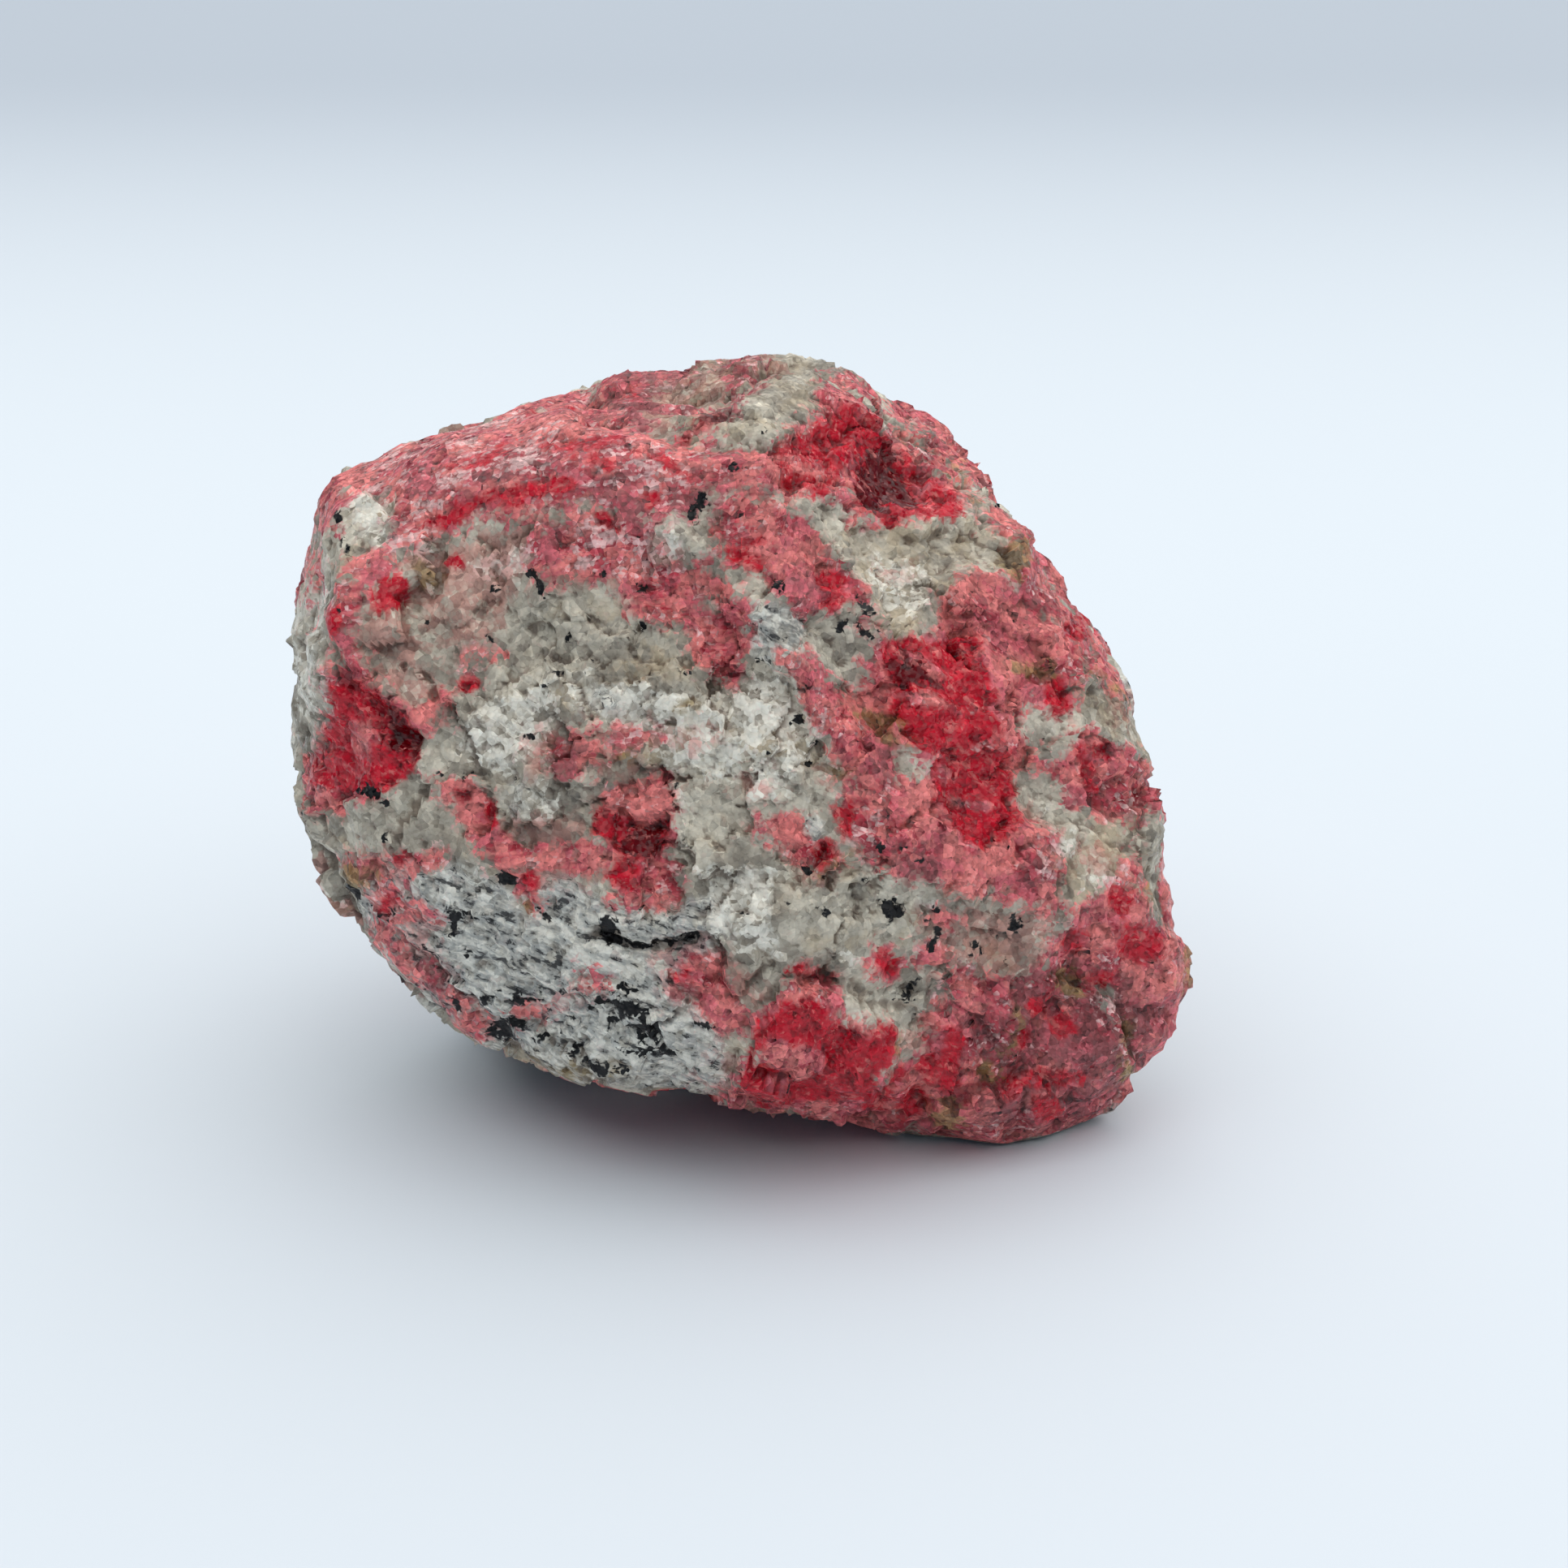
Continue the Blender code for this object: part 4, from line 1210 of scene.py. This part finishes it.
# everything that the recipes are made from
def ingredients(wire, look):
    metres = wire.node("ShaderNodeTexCoord", {}, {}, "Object")
    place = metres.vector("MULTIPLY", (1 / mm, 1 / mm, 1 / mm))
    crystal, crystalFace = place.grains(look["crystalScale"])
    fleck, fleckFace = place.grains(look["fleckScale"])
    ragged = place.noise(*look["raggedNoise"], "Color")
    parts = {"crystalFace": crystalFace, "fleckFace": fleckFace}
    for name in fields:
        parts[name] = wire.node("ShaderNodeAttribute", {"attribute_name": name}, {}, "Fac")
    for name, colour in (("crystal", crystal), ("fleck", fleck), ("ragged", ragged)):
        for number, channel in enumerate(colour.channels(), 1):
            parts[f"{name}{number}"] = channel - 0.5

    # streaks: level along the shoulder, slanting down the right slope, less so in the layered corner
    parts["layered"] = parts["cool"].rise(*look["layersFrom"])
    onSlope = place.vector("DOT_PRODUCT", (1.0, 0.0, 0.0), "Value").rise(*look["slopeFrom"])
    level, slanting = place.turned(*look["levelStreaks"]), place.turned(*look["slantingStreaks"])
    shallow = place.turned(*look["shallowStreaks"])
    drawnOut = parts["layered"].mix(onSlope.mix(level, slanting), shallow)
    parts["streak"] = drawnOut.noise(*look["streakNoise"]) - 0.5
    parts["layer"] = parts["layered"] * summed(parts, layerWeights)
    return parts


def rhodoniteMaterial(look):
    material, wire, shader = newMaterial("rhodonite in quartz")
    parts = ingredients(wire, look)

    def share(name):
        begins, full, cover, weights = recipes[name]
        return summed(parts, weights).rise(begins, full) * cover

    def covered(under, *names):
        for name in names:
            under = share(name).mix(under, look[name])
        return under

    # quartz: each crystal is milky or clear, and the fields draw it to other colours
    quartz = covered(look["quartzClear"], "quartzMilky", "quartzWarm", "quartzBlue", "quartzSmoky")
    quartz = covered(quartz, "quartzSnow")
    quartz = (parts["layered"] * share("pale layer")).mix(quartz, look["quartzSnow"])
    quartz = share("blush").mix(covered(quartz, "seam"), look["blush"], "MULTIPLY")

    # the rose mineral, in five pinks, and the red crystals with their veins of pink, which also serve as
    # painted highlights on the glassy red
    pink = covered(look["roseDeep"], "rose", "roseSalmon", "roseMauve", "rosePale")
    rosy = share("rose on quartz")
    ruby = share("pink vein and sheen").mix(covered(look["crimson"], "crimsonDeep"), look["roseSalmon"])
    red = share("red on the rest")
    colour = red.mix(rosy.mix(quartz, pink), ruby)

    # rust and black specks, and painted shade in the crevices
    rusty = (parts["crystal1"] + 0.5).mix(look["rust"], look["ochre"])
    colour = covered(share("rust").mix(colour, rusty), "ink")
    colour = share("crevice shade").mix(colour, look["creviceShade"], "MULTIPLY")

    # painted light and shade: each crystal and fleck is made lighter or darker at random, as if its facet
    # caught more or less light, and lighter across its tilted face
    onFlecks = (1 - look["redGlintLost"] * red) * summed(parts, fleckGlint)
    glint = onFlecks + summed(parts, crystalGlint)
    glint = (look["quartzGlint"] + look["roseGlint"] * rosy) * glint
    colour = colour.vector("MULTIPLY", look["brightness"] + glint)

    roughness = look["roughness"] + look["roughnessSpread"] * parts["fleck1"] - look["redSmoother"] * red
    sockets = {"Height": parts["fleckFace"], "Distance": look["bumpHeight"], "Strength": 1.0}
    bump = wire.node("ShaderNodeBump", {}, sockets, "Normal")
    for wired, name in ((colour, "Base Color"), (roughness, "Roughness"), (bump, "Normal")):
        material.node_tree.links.new(wired.socket, shader.inputs[name])
    shader.inputs["Specular IOR Level"].default_value = look["shine"]
    shader.inputs["Subsurface Weight"].default_value = look["glow"]
    shader.inputs["Subsurface Radius"].default_value = look["glowReach"]
    shader.inputs["Subsurface Scale"].default_value = look["glowDepth"]
    return material


stone.data.materials.append(rhodoniteMaterial(finish))
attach(stone, "root")
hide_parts("rhodonite_stone")
print("stone dressed")


# a pale floor, its colour painted darker far behind the stone and a little darker in front of it as shade
# where the light falls off, with soft light from above and a little behind
stage = {
    "floorSide": 12.0,
    "floorRoughness": 0.8,
    "floorNear": (0.735, 0.785, 0.835),
    "floorMiddle": (0.76, 0.815, 0.865),
    "floorFar": (0.49, 0.54, 0.605),
    "skyHigh": (0.86, 1.05, 1.22),
    "skyLow": (0.17, 0.36, 0.56),
    "horizonColour": (3.0, 3.2, 3.45),
    "worldStrength": 0.24,
    "sunWay": Vector((-0.14, -0.1, -1.0)),  # the way that the light travels
    "sunWidth": 115.0,  # degrees across, which sets how soft the shadow is
    "sunStrength": 3.0,
    "sunColour": (1.0, 0.985, 0.96),
    "floorMiddleFrom": (-0.08, 0.16),  # metres behind the stone between which each floor colour comes in
    "floorFarFrom": (0.12, 0.95),
    "skyFrom": (0.0, 1.0),  # and how far up the sky each of its colours does
    "horizonTo": (0.035, 0.075),
}


def makeFloor():
    half = stage["floorSide"] / 2
    mesh = bpy.data.meshes.new("floor")
    corners = [(-half, -half, 0), (half, -half, 0), (half, half, 0), (-half, half, 0)]
    mesh.from_pydata(corners, [], [(0, 1, 2, 3)])
    floor = bpy.data.objects.new("floor", mesh)
    bpy.context.scene.collection.objects.link(floor)
    material, wire, shader = newMaterial("pale paper")
    place = wire.node("ShaderNodeTexCoord", {}, {}, "Object")
    back = place.vector("DOT_PRODUCT", (0.0, 1.0, 0.0), "Value")
    # painted shade: the floor's colour darkens a little in front of the stone and much more far behind it
    colour = back.rise(*stage["floorMiddleFrom"]).mix(stage["floorNear"], stage["floorMiddle"])
    colour = back.rise(*stage["floorFarFrom"]).mix(colour, stage["floorFar"])
    material.node_tree.links.new(colour.socket, shader.inputs["Base Color"])
    shader.inputs["Roughness"].default_value = stage["floorRoughness"]
    mesh.materials.append(material)


def lightStage():
    scene = bpy.context.scene
    world = bpy.data.worlds.new("soft studio")
    world.use_nodes = True
    background = world.node_tree.nodes["Background"]
    wire = Wire(world.node_tree)
    way = wire.node("ShaderNodeTexCoord", {}, {}, "Generated")
    up = way.vector("DOT_PRODUCT", (0.0, 0.0, 1.0), "Value")
    sky = up.rise(*stage["skyFrom"]).mix(stage["skyLow"], stage["skyHigh"])
    sky = up.rise(*stage["horizonTo"]).mix(stage["horizonColour"], sky)
    world.node_tree.links.new(sky.socket, background.inputs["Color"])
    background.inputs["Strength"].default_value = stage["worldStrength"]
    scene.world = world
    sun = bpy.data.objects.new("key", bpy.data.lights.new("key", "SUN"))
    sun.data.angle = math.radians(stage["sunWidth"])
    sun.data.energy = stage["sunStrength"]
    sun.data.color = stage["sunColour"]
    sun.rotation_euler = stage["sunWay"].to_track_quat("-Z", "Y").to_euler()
    scene.collection.objects.link(sun)
    scene.view_settings.view_transform = "Standard"


makeFloor()
lightStage()
print("stage set")
